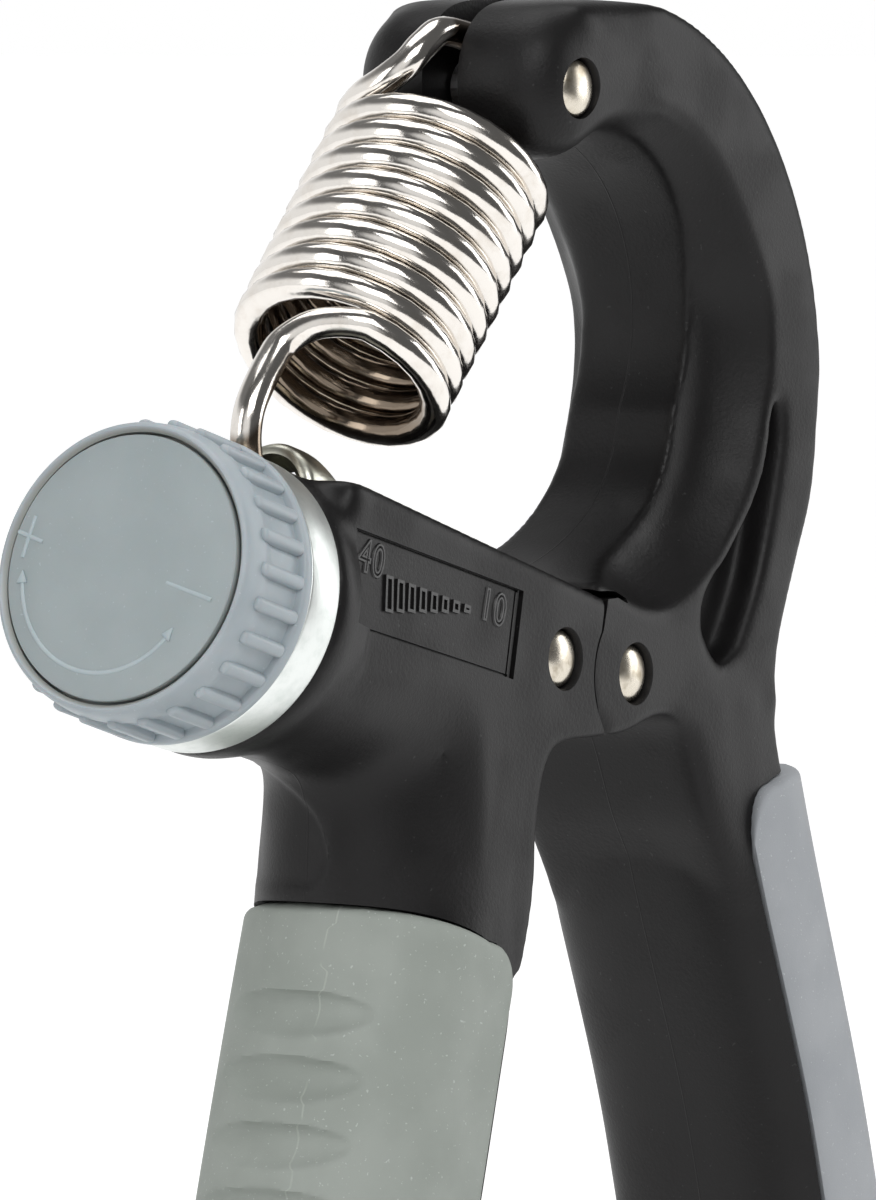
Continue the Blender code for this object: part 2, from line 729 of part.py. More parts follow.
def in_barrel(made, surface):
    """Puts a piece drawn about the barrel's axis in its place."""
    return smooth(place(made, barrel_axis, surface, in_barrel=True))


def knob_rings():
    """Radius, distance and rib height of each ring round the knob, outside then inside."""
    bore = screw_radius + insert_wall + 2 * gap
    recess = disc_radius + gap
    floor = disc_sink + disc_thickness + gap
    pocket = knob_nut_radius + gap
    pocket_floor = floor + knob_nut_height + gap
    side_end = knob_length - knob_flange_length
    cup = knob_rear_radius - knob_wall - rib_height
    return [
        (bore, pocket_floor, 0), (pocket, pocket_floor, 0), (pocket, floor, 0), (recess, floor, 0),
        (recess, 0.25 * mm, 0), (knob_front_radius - knob_front_round, 0, 0),
        (knob_front_radius - 0.3 * knob_front_round, 0.3 * knob_front_round, 0),
        (knob_front_radius, knob_front_round, 0), (knob_front_radius, 2.2 * mm, 0),
        (knob_rear_radius, 2.9 * mm, 1), (knob_rear_radius, side_end - 0.5 * mm, 1),
        (knob_flange_radius, side_end, 0), (knob_flange_radius, knob_length, 0),
        (cup, knob_length, 0), (cup, pocket_floor + 2.6 * mm, 0),
        (bore + knob_wall, pocket_floor + 2.6 * mm, 0), (bore + knob_wall, knob_length, 0),
        (bore, knob_length, 0)]


def make_knob():
    """The ribbed knob: rings of points, lofted round from bore to bore."""
    build = bmesh.new()
    a_rib = 4
    count = int(rib_count * a_rib)
    rows = []
    for radius, distance, ribbed in knob_rings():
        row = []
        for i in range(count):
            low = ribbed and i % a_rib >= 2
            reach = radius - (rib_height if low else 0)
            angle = 2 * pi * i / count
            row.append(build.verts.new((reach * cos(angle), reach * sin(angle), distance)))
        rows.append(row)
    for k in range(len(rows)):
        lower, upper = rows[k], rows[(k + 1) % len(rows)]
        for i in range(count):
            j = (i + 1) % count
            build.faces.new((lower[i], lower[j], upper[j], upper[i]))
    return in_barrel(mesh_object("knob", build), knob_plastic)


def make_barrel_pieces():
    """What lies on the barrel's axis, from the knob's face to the screw's end."""
    disc_low = disc_sink
    disc = turned("knob_disc", rod_profile(disc_radius, disc_low, disc_low + disc_thickness,
                                           0.15 * mm), 40)
    in_barrel(disc, knob_plastic)
    floor = disc_sink + disc_thickness + gap
    nut_low = floor + gap
    nut_high = nut_low + knob_nut_height - gap
    build = bmesh.new()
    matrix = Matrix.Translation((0, 0, (nut_low + nut_high) / 2))
    bmesh.ops.create_cone(build, cap_ends=True, segments=6, radius1=knob_nut_radius,
                          radius2=knob_nut_radius, depth=nut_high - nut_low, matrix=matrix)
    nut = in_barrel(mesh_object("knob_nut", build), zinc)
    hole = turned("knob_nut_hole", rod_profile(screw_radius + gap, nut_low - mm, nut_high + mm), 20)
    cut(nut, place(hole, barrel_axis, cutter=True, in_barrel=True))
    insert_low = nut_high + gap
    insert = turned("knob_insert", ring_profile(screw_radius + gap, screw_radius + gap + insert_wall,
                                                insert_low, knob_length, 0.2 * mm), 24)
    in_barrel(insert, brass)
    screw = turned("adjuster_screw", rod_profile(screw_radius, nut_low + gap, screw_end, 0.6 * mm),
                   24)
    in_barrel(screw, plain_steel)
    collar = turned("collar_ring", ring_profile(screw_radius + gap, collar_radius, collar_front,
                                                collar_front + collar_thickness, 0.3 * mm), 48)
    in_barrel(collar, zinc)
    nose_bush = turned("nose_bush", ring_profile(bush_radius, bearing_radius, nose_front,
                                                 trough_front), 24)
    in_barrel(nose_bush, oiled_nylon)
    washer_low = trough_front + gap
    washer = turned("thrust_washer", ring_profile(bush_radius, clip_radius, washer_low,
                                                  washer_low + washer_thickness), 28)
    in_barrel(washer, brass)
    clip = turned("screw_clip", ring_profile(bush_radius, clip_radius, clip_front,
                                             clip_front + washer_thickness), 28)
    in_barrel(clip, plain_steel)
    tail = turned("tail_bush", ring_profile(bush_radius, bearing_radius, trough_end,
                                            trough_end + tail_bush_length), 24)
    in_barrel(tail, oiled_nylon)


def make_nut():
    """The travelling nut: a block on the screw whose round-topped eye stands out of the slot."""
    side = nut_width / 2
    body = block("travelling_nut", (-eye_height + 3.4 * mm, -side, nut_front),
                 (nut_depth, side, nut_front + nut_length))
    eye_end = nut_front + nut_length
    made = in_barrel(body, zinc)
    post = turned("eye_post", rod_profile(eye_radius, nut_front, eye_end, 0.4 * mm), 28)
    place(post, barrel_axis, cutter=True, in_barrel=True)
    post.location = (-eye_height, 0, 0)
    cut(made, post, "UNION")
    hole = turned("eye_hole", [(0, nut_front + eye_hole_depth), (eye_hole_radius, nut_front
                  + eye_hole_depth), (eye_hole_radius, nut_front + 0.7 * mm),
                  (eye_hole_radius + 1.0 * mm, nut_front - 0.3 * mm), (0, nut_front - 0.3 * mm)], 24)
    place(hole, barrel_axis, cutter=True, in_barrel=True)
    hole.location = (-eye_height, 0, 0)
    cut(made, hole)
    bore = turned("nut_bore", rod_profile(screw_radius + gap, nut_front - mm,
                                          nut_front + nut_length + mm), 24)
    cut(made, place(bore, barrel_axis, cutter=True, in_barrel=True))
    return made


# Spring

def spring_place(reach, side, across=0.0):
    """A point from the anchor pin: along the pull, to its lower side, and across."""
    return anchor_at + down * reach + aside * side + Vector((0, across, 0))


def spring_route():
    """The wire's middle line: hook on the anchor, close turns, and hook in the nut's eye."""
    coil_radius = coil_outer_radius - wire / 2
    pitch = wire + wire_gap
    bend = rivet_shank_radius + gap + anchor_bush_wall + gap + wire / 2
    hook = [spring_place(-bend * cos(radians(a)), bend * sin(radians(a)))
            for a in (105, 80, 50, 20, -10, -38)]
    turn_span = coil_turns + (upper_leave - lower_leave) / (2 * pi)
    start = coil_start
    end = start + pitch * turn_span
    coil = []
    count = int(coil_points * turn_span + 0.5)
    for i in range(count + 1):
        angle = upper_leave - 2 * pi * turn_span * i / count
        reach = start + (end - start) * i / count
        coil.append(spring_place(reach, coil_radius * cos(angle), coil_radius * sin(angle)))
    rise = [(0.3 * mm, -7.9 * mm, 0.0), (3.2 * mm, -9.3 * mm, 1.2 * mm),
            (6.6 * mm, -8.7 * mm, 4.3 * mm)]
    across = [spring_place(*point) for point in rise]
    centre_reach = spring_length - hook_radius * cos(radians(27))
    centre_side = -hook_radius * sin(radians(27))
    leg = centre_side - hook_radius
    fall = [(end + 1.3 * mm, -8.7 * mm, -2.9 * mm), (end + 3.6 * mm, leg, -0.5 * mm),
            (end + 6.0 * mm, leg, 0.0)]
    drop = [spring_place(*point) for point in fall]
    eye = [spring_place(centre_reach + hook_radius * sin(radians(a)),
                        centre_side - hook_radius * cos(radians(a)))
           for a in (0, 22, 45, 68, 90, 112, 134)]
    tail_run = (eye[-1] - eye[-2]).normalized() * wire
    lead_run = (hook[0] - hook[1]).normalized() * wire
    keys = [hook[0] + lead_run, *hook, *across]
    upper = flowing([tuple(point) for point in keys + coil[:2]], 3)[:-4]
    lower = flowing([tuple(point) for point in coil[-2:] + drop + eye], 3)[4:]
    route = [Vector(point) for point in upper] + coil + [Vector(point) for point in lower]
    return route + [eye[-1] + tail_run]


def least_gap(route, near=6):
    """The smallest space between stretches of the wire that aren't neighbours."""
    best = 1.0
    for i, a in enumerate(route):
        walked = 0.0
        for j in range(i + 1, len(route)):
            walked += (route[j] - route[j - 1]).length
            if walked > near * wire / 2:
                best = min(best, (route[j] - a).length)
    return best - wire


def make_spring():
    """One unbroken wire as a bevelled curve."""
    route = spring_route()
    curve = bpy.data.curves.new("spring", "CURVE")
    curve.dimensions = "3D"
    curve.bevel_depth = wire / 2
    curve.bevel_resolution = 1
    curve.use_fill_caps = True
    spline = curve.splines.new("POLY")
    spline.points.add(len(route) - 1)
    for point, at in zip(spline.points, route):
        point.co = (*at, 1)
    made = bpy.data.objects.new("spring", curve)
    bpy.context.scene.collection.objects.link(made)
    place(made, anchor_axis, nickel)
    print("spring: points", len(route), "least gap mm", round(least_gap(route) / mm, 3))
    return made


def report_motion():
    """Prints how far the spring swings and stretches at the ends of the two motions."""
    def pull_to(point):
        reach = point - anchor_at
        return reach.length, degrees(atan2(-reach.z, -reach.x))
    rest_length, rest_angle = pull_to(hook_point)
    squeeze = radians(34)
    arm_out = hook_point - hinge_pin_at
    turned_out = Vector((arm_out.x * cos(squeeze) - arm_out.z * sin(squeeze), 0,
                         arm_out.z * cos(squeeze) + arm_out.x * sin(squeeze)))
    for label, point in (("squeezed", hinge_pin_at + turned_out),
                         ("lightest", hook_point + along * nut_travel)):
        length, angle = pull_to(point)
        print(label, "longer by mm", round((length - rest_length) / mm, 2),
              "swung by degrees", round(angle - rest_angle, 2))
    print("screw turns", round(nut_travel / screw_pitch, 2))


make_arm()
make_lever()
grip("arm_grip", 1, arm_grip_top_z, arm_top_lean, arm_rubber, seam)
grip("lever_grip", -1, lever_grip_top_z, lever_top_lean, lever_rubber, hinge_axis)
rivet("hinge_pin", hinge_pin_at, seam, nickel)
rivet("link_pin", link_pin_at, hinge_axis, nickel)
rivet("anchor_pin", anchor_at, anchor_axis, nickel)
link_plate("link_plate_front", -1)
link_plate("link_plate_rear", 1)
sleeve_half = plate_inner - gap
bush("hinge_bush", hinge_pin_at, hinge_axis, brass, pin_bore, bush_wall, sleeve_half)
bush("link_bush", link_pin_at, hinge_axis, plain_steel, pin_bore, bush_wall, sleeve_half)
bush("anchor_bush", anchor_at, anchor_axis, plain_steel, pin_bore, anchor_bush_wall,
     ear_slot_width / 2 - gap)
make_knob()
make_barrel_pieces()
make_nut()
make_spring()
report_motion()
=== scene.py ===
# %% [markdown]
# # A hand gripper with an adjustable spring
# This notebook dresses a finished CAD model of a hand gripper. The CAD model gives the sizes, the
# places and the moving bodies, and everything made here is set on it in the same frame.
# So the first step loads that model.

# %% Load the frame
from math import cos, pi, radians, sin, sqrt

import bpy
from mathutils import Matrix, Vector, noise


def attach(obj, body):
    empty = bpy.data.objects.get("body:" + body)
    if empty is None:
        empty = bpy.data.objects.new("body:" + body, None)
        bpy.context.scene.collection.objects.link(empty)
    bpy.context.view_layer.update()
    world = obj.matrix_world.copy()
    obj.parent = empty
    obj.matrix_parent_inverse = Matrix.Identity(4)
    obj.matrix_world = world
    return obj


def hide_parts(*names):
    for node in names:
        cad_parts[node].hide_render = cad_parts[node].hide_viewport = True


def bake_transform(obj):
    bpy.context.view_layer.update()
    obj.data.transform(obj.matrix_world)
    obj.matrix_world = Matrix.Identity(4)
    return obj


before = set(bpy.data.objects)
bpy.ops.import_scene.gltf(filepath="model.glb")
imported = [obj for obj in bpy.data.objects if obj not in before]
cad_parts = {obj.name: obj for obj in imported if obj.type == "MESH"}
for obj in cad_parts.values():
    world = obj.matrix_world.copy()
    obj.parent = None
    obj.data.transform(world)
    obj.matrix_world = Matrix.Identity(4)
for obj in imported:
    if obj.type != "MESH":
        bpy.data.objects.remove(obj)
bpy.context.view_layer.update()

# %% [markdown]
# The shapes are drawn in millimetres from the seam, the line where the two handles meet. One
# function turns such a place into the frame's metres. Drawing from the seam keeps the numbers small,
# and if the whole model is ever shifted, only one vector changes.

# %% The drawing frame
mm = 0.001
seam = Vector((-0.94 * mm, 0, 95 * mm))


def at(x, y, z):
    """A place in metres, from millimetres right of, behind and above the seam."""
    return Vector((x, y, z)) * mm + seam


def turn_to(centre, along):
    """The matrix that lays a piece drawn about Z along another axis, at a centre."""
    along = Vector(along).normalized()
    across = Vector((0, 1, 0)) if abs(along.y) < 0.9 else Vector((1, 0, 0))
    first = across.cross(along).normalized()
    second = along.cross(first)
    matrix = Matrix((first, second, along)).transposed().to_4x4()
    return Matrix.Translation(centre) @ matrix


tilt = radians(-15.2)                  # of the barrel, which falls towards the seam
along = Vector((cos(tilt), 0, sin(tilt)))
above = Vector((-sin(tilt), 0, cos(tilt)))
nose_front = 14.8                      # from the knob's face to the barrel's nose
nose_middle = Vector((-45.683, 0, 7.282))
half_thick = 11                        # how far both bodies reach to the front and the back
hinge_pin, link_pin, anchor = (5.92, -0.96), (-5.92, 0.96), (-3.0, 52.0)
hook_seat = (-36.104, 15.576)          # where the spring's lower hook sits in the nut


def barrel_mm(distance, height):
    """A place on the barrel, from behind the knob's face and above the axis, as x and z."""
    point = nose_middle + along * (distance - nose_front) + above * height
    return point.x, point.z


def on_barrel(distance=0.0, height=0.0):
    """The same as a place in metres."""
    x, z = barrel_mm(distance, height)
    return at(x, 0, z)


def through(centre):
    """The matrix for a piece that is turned about a line from front to back."""
    return turn_to(at(centre[0], 0, centre[1]), (0, 1, 0))


print("knob's face at", [round(v / mm, 1) for v in on_barrel()])

# %% [markdown]
# ## Working in edit mode from code
# Blender's modelling tools act on what is selected, and the frame comes in with its nodes selected.
# So each step first deselects everything, then selects what it changes.

# %% Selecting and editing
ops, mesh_ops = bpy.ops.object, bpy.ops.mesh


def only(made):
    """Selects one object and nothing else."""
    ops.select_all(action="DESELECT")
    made.select_set(True)
    bpy.context.view_layer.objects.active = made
    return made


def edit(made):
    """Opens an object in edit mode with all of it selected."""
    only(made)
    ops.mode_set(mode="EDIT")
    mesh_ops.select_mode(type="VERT")
    mesh_ops.select_all(action="SELECT")


def done():
    """Goes back to object mode."""
    ops.mode_set(mode="OBJECT")


def renamed(made, name):
    made.name = made.data.name = name
    return made


def named(name):
    """Names the primitive that was just added."""
    return renamed(bpy.context.object, name)


def outward(made):
    """Merges doubled vertices and turns every face outwards."""
    edit(made)
    mesh_ops.remove_doubles(threshold=0.00002)
    mesh_ops.normals_make_consistent(inside=False)
    done()
    return made


def settle(made, matrix):
    """Moves a piece to its place, and writes the place into its mesh."""
    made.matrix_world = matrix
    only(made)
    ops.transform_apply(location=True, rotation=True, scale=True)
    return made


def modified(made, kind, **settings):
    """Adds a modifier and applies it at once."""
    only(made)
    modifier = made.modifiers.new(kind.lower(), kind)
    for key, value in settings.items():
        setattr(modifier, key, value)
    ops.modifier_apply(modifier=modifier.name)
    return made


def cut(target, cutter, operation="DIFFERENCE", tolerant=False):
    """Cuts with another piece, or joins it on, and removes it."""
    modified(target, "BOOLEAN", object=cutter, operation=operation, solver="EXACT",
             use_hole_tolerant=tolerant)
    bpy.data.objects.remove(cutter)
    return target


def soft_shade(made, angle=35):
    """Shades smoothly, except over edges that are sharper than an angle in degrees."""
    only(made)
    ops.shade_smooth_by_angle(angle=radians(angle))
    return made


def rounded(made, width, segments=3, angle=35):
    """Rounds the sharp edges."""
    return modified(made, "BEVEL", width=width * mm, segments=segments, limit_method="ANGLE",
                    angle_limit=radians(angle), harden_normals=False)


def twin(made, name):
    """A copy with a mesh of its own."""
    copy = made.copy()
    copy.data = made.data.copy()
    bpy.context.scene.collection.objects.link(copy)
    return renamed(copy, name)


def join_all(first, *others):
    """Joins pieces in one object."""
    only(first)
    for other in others:
        other.select_set(True)
    ops.join()
    return first


# %% [markdown]
# Three kinds of form make up nearly all of the gripper. Turned pieces start as a circle that is
# extruded and resized ring by ring. Plates start as a filled circle whose vertices are moved to an
# outline, and are extruded through. Skins start as a grid that is rolled up to a rule.

# %% Turned pieces, plates and skins
def turned(name, profile, sides, matrix):
    """A turned piece. The profile is (radius, height) in millimetres, about Z."""
    ops.select_all(action="DESELECT")
    radius, height = max(profile[0][0], 0.01), profile[0][1]
    mesh_ops.primitive_circle_add(vertices=sides, radius=radius * mm, location=(0, 0, height * mm))
    made = settle(named(name), Matrix.Translation((0, 0, height * mm)))
    edit(made)
    for next_radius, next_height in profile[1:]:
        next_radius = max(next_radius, 0.01)
        mesh_ops.extrude_region_move(
            TRANSFORM_OT_translate={"value": (0, 0, (next_height - height) * mm)})
        if next_radius != radius:
            share = next_radius / radius
            bpy.ops.transform.resize(value=(share, share, 1), center_override=(0, 0, 0))
        radius, height = next_radius, next_height
    done()
    return settle(outward(made), matrix)


def flat_face(name, places):
    """A filled circle whose vertices are moved to the given places."""
    ops.select_all(action="DESELECT")
    mesh_ops.primitive_circle_add(vertices=len(places), radius=1 * mm, fill_type="NGON")
    made = named(name)
    for vertex, place in zip(made.data.vertices, places):
        vertex.co = place
    made.data.update()
    return made


def extruded(made, move):
    """Makes a flat piece solid, by a move in metres."""
    edit(made)
    mesh_ops.extrude_region_move(TRANSFORM_OT_translate={"value": tuple(move)})
    mesh_ops.select_all(action="SELECT")
    mesh_ops.normals_make_consistent(inside=False)
    done()
    return made


def plate(name, outline, low_y, high_y):
    """A flat outline in x and z, extruded along y."""
    made = flat_face(name, [at(x, low_y, z) for x, z in outline])
    return extruded(made, (0, (high_y - low_y) * mm, 0))


def skin(name, around, down, rule, capped=True):
    """A grid rolled up: rule(s, t) places each vertex, s goes round and t goes along.

    A section that closes on itself gives the same place for s = 0 and s = 1.
    """
    ops.select_all(action="DESELECT")
    mesh_ops.primitive_grid_add(x_subdivisions=around, y_subdivisions=down, size=1)
    made = named(name)
    for vertex in made.data.vertices:
        vertex.co = rule(vertex.co.x + 0.5, vertex.co.y + 0.5)
    edit(made)
    mesh_ops.remove_doubles(threshold=0.000005)
    if capped:
        mesh_ops.fill_holes(sides=0)
    mesh_ops.normals_make_consistent(inside=False)
    done()
    return made


def arc(centre, radius, start, end, count):
    """Points on an arc, both ends included. Angles in degrees."""
    angles = [radians(start + (end - start) * i / count) for i in range(count + 1)]
    return [(centre[0] + radius * cos(a), centre[1] + radius * sin(a)) for a in angles]


def flowing(points, steps):
    """A smooth line through points of any number of coordinates."""
    first = [2 * a - b for a, b in zip(points[0], points[1])]
    last = [2 * a - b for a, b in zip(points[-1], points[-2])]
    held, found = [first, *points, last], []
    for k in range(1, len(held) - 2):
        for i in range(steps):
            t = i / steps
            found.append(tuple(
                0.5 * (2 * b + (c - a) * t + (2 * a - 5 * b + 4 * c - d) * t ** 2
                       + (3 * b - a - 3 * c + d) * t ** 3)
                for a, b, c, d in zip(*held[k - 1:k + 3])))
    return found + [tuple(points[-1])]


# %% [markdown]
# ## Camera
# The gripper was photographed from its front left, a little above, with a long lens. The camera
# stands a metre away, so the handle behind is hardly smaller than the barrel in front.

# %% Camera
ops.select_all(action="DESELECT")
ops.camera_add(location=at(-838.4, -543.6, 58.0))
camera = named("camera")
looking = Vector((0.8349, 0.5479, -0.0523))
camera.rotation_euler = looking.to_track_quat("-Z", "Y").to_euler()
camera.data.sensor_fit = "VERTICAL"
camera.data.sensor_height = camera.data.sensor_width = 36
camera.data.lens = 331.4
camera.data.clip_start, camera.data.clip_end = 0.05, 50
bpy.context.scene.camera = camera
print("camera at", [round(v, 3) for v in camera.location])

# %% [markdown]
# ## Materials in plain maths
# A material is a small graph of nodes. Written out node by node it is long and hard to read, so a
# socket is wrapped in a class that knows how to add and multiply. An expression such as
# 1 - mask * 0.3 then adds its own Math nodes. Colours are blended by Mix nodes.

# %% A socket that does sums
class Amount:
    """A number that varies over a surface."""

    def __init__(self, look, socket):
        self.look, self.socket = look, socket

    def maths(self, operation, first, second=None):
        values = {0: first} if second is None else {0: first, 1: second}
        return self.look.node("ShaderNodeMath", {"operation": operation}, values)

    def __add__(self, other):
        return self.maths("ADD", self, other)

    def __sub__(self, other):
        return self.maths("SUBTRACT", self, other)

    def __rsub__(self, other):
        return self.maths("SUBTRACT", other, self)

    def __mul__(self, other):
        return self.maths("MULTIPLY", self, other)

    def __truediv__(self, other):
        return self.maths("DIVIDE", self, other)

    def __mod__(self, other):
        return self.maths("FLOORED_MODULO", self, other)

    def size(self):
        return self.maths("ABSOLUTE", self)

    def eased(self, low, high):
        """0 below low, 1 above high, and smooth between. High may be the lower one."""
        settings = {"interpolation_type": "SMOOTHSTEP", "clamp": True}
        return self.look.node("ShaderNodeMapRange", settings, {0: self, 1: low, 2: high})

    __radd__, __rmul__ = __add__, __mul__


class Look:
    """A material: its Principled shader, and one way to add any node."""

    def __init__(self, name, **constants):
        self.material = bpy.data.materials.new(name)
        self.material.use_nodes = True
        self.tree = self.material.node_tree
        self.shader = self.tree.nodes["Principled BSDF"]
        for key, value in constants.items():
            self.shader.inputs[key.replace("_", " ")].default_value = value
        self.place = self.node("ShaderNodeTexCoord", {}, {}, "Object")

    def node(self, kind, settings, values, output=0):
        """Adds a node, sets it, feeds its sockets, and returns one of its outputs."""
        made = self.tree.nodes.new(kind)
        for key, value in settings.items():
            setattr(made, key, value)
        for key, value in values.items():
            self.feed(made.inputs[key], value)
        return Amount(self, made.outputs[output])

    def feed(self, socket, value):
        if isinstance(value, Amount):
            self.tree.links.new(value.socket, socket)
        elif isinstance(value, tuple) and socket.type == "RGBA":
            socket.default_value = (*value, 1)
        else:
            socket.default_value = value

    def give(self, **values):
        """Feeds the shader."""
        for key, value in values.items():
            self.feed(self.shader.inputs[key.replace("_", " ")], value)
        return self

    def grain(self, grain_mm, detail=2.0, roughness=0.5):
        """Noise from 0 to 1 whose lumps are about so many millimetres across."""
        values = {"Vector": self.place, "Scale": 1 / (grain_mm * mm), "Detail": detail,
                  "Roughness": roughness}
        return self.node("ShaderNodeTexNoise", {}, values)

    def pits(self, size_mm):
        """The distance to the nearest of many random points, for a pitted surface."""
        values = {"Vector": self.place, "Scale": 1 / (size_mm * mm)}
        return self.node("ShaderNodeTexVoronoi", {"feature": "F1"}, values)

    def axis(self, letter):
        """One coordinate of the place, in metres."""
        return self.node("ShaderNodeSeparateXYZ", {}, {0: self.place}, letter)

    def from_line(self, point, direction):
        """The distance of the place from a line, in millimetres."""
        vector = "ShaderNodeVectorMath"
        gone = self.node(vector, {"operation": "SUBTRACT"}, {0: self.place, 1: tuple(point)})
        crossed = self.node(vector, {"operation": "CROSS_PRODUCT"}, {0: gone, 1: tuple(direction)})
        return self.node(vector, {"operation": "LENGTH"}, {0: crossed}, "Value") / mm

    def blend(self, share, first, second):
        """One colour, or another."""
        return self.node("ShaderNodeMix", {"data_type": "RGBA"}, {0: share, 6: first, 7: second}, 2)

    def bump(self, height, distance_mm, strength=1.0):
        """A normal that makes the height look real, where 1 is distance_mm proud."""
        values = {"Height": height, "Distance": distance_mm * mm, "Strength": strength}
        return self.node("ShaderNodeBump", {}, values)


print("a look has", len(Look("trial").tree.nodes), "nodes before it is fed")
bpy.data.materials.remove(bpy.data.materials["trial"])

# %% [markdown]
# ## Black glass-filled nylon
# The two bodies are moulded in black nylon. It isn't pure black, and its satin skin has a fine
# pitted grain that comes from the spark-eroded mould, coarser in some places than in others. A thin
# line runs where the mould's halves met. The grain is a bump on two sizes of noise, and the
# roughness wanders a little, so that wide reflections break up as they do on the real skin.

# %% Black nylon
def black_nylon():
    look = Look("moulded_black_nylon", Specular_IOR_Level=0.25)
    fine, coarse, cloudy = look.grain(0.22, 3, 0.6), look.pits(0.42), look.grain(9, 2)
    patchy = cloudy.eased(0.42, 0.62)
    line = look.axis("Y").size().eased(0.10 * mm, 0.03 * mm)
    height = fine * 0.55 + coarse * 0.5 * (0.35 + patchy * 0.65) + line * 0.8
    colour = look.blend(cloudy, (0.0056, 0.0052, 0.0054), (0.0090, 0.0084, 0.0087))
    dust = look.grain(0.5, 1).eased(0.74, 0.79)
    colour = look.blend(dust * 0.2, colour, (0.10, 0.10, 0.10))
    return look.give(Base_Color=colour, Roughness=0.36 + fine * 0.12 + patchy * 0.08,
                     Normal=look.bump(height, 0.045, 0.9)).material


nylon = black_nylon()
print("nylon nodes:", len(nylon.node_tree.nodes))

# %% [markdown]
# ## Grip rubber
# The grips are soft grey rubber over the nylon, a greener grey on one handle than on the other. Close
# up the surface is matt, with tiny pale specks of dust and mould marks, and a pale crooked flash
# line runs down where the mould closed. The line jumps aside at each finger dimple, as the real one
# does, so its place is worked out from the height.

# %% Grip rubber
dimple_count, dimple_pitch, first_dimple = 10, 5.72, -29.25
flash_front = 3.0                      # how far the flash line lies in front of the middle


def grip_rubber(name, colour, light):
    look = Look(name, Specular_IOR_Level=0.35)
    fine, cloudy, specks = look.grain(0.16, 3, 0.6), look.grain(7, 3), look.grain(0.33, 1)
    height = look.axis("Z") - seam.z
    phase = (height - first_dimple * mm + dimple_pitch / 2 * mm) % (dimple_pitch * mm)
    inside = (phase - dimple_pitch / 2 * mm).size().eased(2.2 * mm, 1.5 * mm)
    low = (height / mm).eased(-60, -20)
    wander = (look.grain(3.2, 2) - 0.5) * 0.45 * mm - inside * 0.7 * mm
    line = (look.axis("Y") + (flash_front * mm + wander)).size().eased(0.12 * mm, 0.04 * mm)
    broken = look.grain(1.9, 1).eased(0.36, 0.56) * (0.4 + low * 0.4)
    shade = look.blend(cloudy.eased(0.3, 0.7), colour, light)
    shade = look.blend(specks.eased(0.70, 0.76) * 0.45, shade, (0.62, 0.66, 0.64))
    shade = look.blend(line * broken * 0.4, shade, (0.60, 0.64, 0.58))
    bumps = fine * 0.6 + line * broken * 0.9 + specks.eased(0.7, 0.76) * 0.4
    return look.give(Base_Color=shade, Roughness=0.56 + fine * 0.1,
                     Normal=look.bump(bumps, 0.05, 0.6)).material


lever_rubber = grip_rubber("grey_green_rubber", (0.292, 0.320, 0.291), (0.332, 0.360, 0.331))
arm_rubber = grip_rubber("grey_blue_rubber", (0.328, 0.345, 0.366), (0.366, 0.382, 0.402))
print("rubbers:", lever_rubber.name, arm_rubber.name)

# %% [markdown]
# ## Knob plastic
# The knob is moulded in pale blue-grey polypropylene. Light goes a short way into it, so its edges
# look lighter than its flats. The skin has a faint orange peel and a few specks, and the groove
# round the front disc is painted a darker warm grey as shade.

# %% Knob plastic
def knob_plastic(name, colour, light):
    look = Look(name, Specular_IOR_Level=0.45, Subsurface_Weight=0.12, Subsurface_Scale=0.0012)
    peel, cloudy, specks = look.grain(0.9, 3, 0.6), look.grain(5, 3), look.grain(0.3, 1)
    shade = look.blend(cloudy.eased(0.3, 0.7), colour, light)
    shade = look.blend(specks.eased(0.72, 0.78) * 0.35, shade, (0.56, 0.62, 0.66))
    radius = look.from_line(on_barrel(), along)
    # Painted shade: the groove round the front disc is darkened to a warm grey.
    groove = radius.eased(11.7, 11.95) * radius.eased(12.5, 12.2)
    shade = look.blend(groove * 0.6, shade, (0.34, 0.33, 0.28))
    return look.give(Base_Color=shade, Roughness=0.36 + cloudy * 0.12,
                     Normal=look.bump(peel * 0.7 + specks * 0.3, 0.03, 0.5)).material


knob_side = knob_plastic("pale_blue_grey_plastic", (0.355, 0.405, 0.435), (0.395, 0.445, 0.475))
knob_front = knob_plastic("pale_grey_plastic", (0.315, 0.362, 0.372), (0.338, 0.385, 0.395))
knob_mark = knob_plastic("pale_mark_plastic", (0.40, 0.465, 0.490), (0.43, 0.49, 0.515))
print("knob plastics:", knob_side.name, knob_front.name)

# %% [markdown]
# ## Metals
# The spring and the rivets are polished and nickel plated: almost a mirror, slightly warm, with fine
# drawing lines and small stains. The ring and the nut are zinc plated, which is whiter and duller,
# and the ring has faint lines from the lathe. The hidden pieces are plain steel, brass and nylon.
# Near the coil's middle line, on the inner side of the turns, the wire is painted browner as shade.

# %% Metals and the hidden nylon
def metal(name, colour, stain, roughness, grain_mm=0.35, scratch_mm=0.02, wear=0.5, painted_shade=None):
    """A plated or bare metal with stains. Where painted_shade(look) is 1, shade is painted on it in a
    dark brownish colour.
    """
    look = Look(name, Metallic=1.0)
    fine, cloudy = look.grain(grain_mm, 3, 0.6), look.grain(2.2, 4, 0.6)
    shade = look.blend(cloudy.eased(0.45, 0.75) * wear, colour, stain)
    # Painted shade: a dark brownish colour is laid on the metal where the mask is 1.
    if painted_shade:
        shade = look.blend(painted_shade(look) * 0.9, shade, (0.16, 0.115, 0.075))
    rough = roughness + cloudy.eased(0.4, 0.8) * 0.08 + fine * 0.05
    return look.give(Base_Color=shade, Roughness=rough,
                     Normal=look.bump(fine, scratch_mm, 0.35)).material


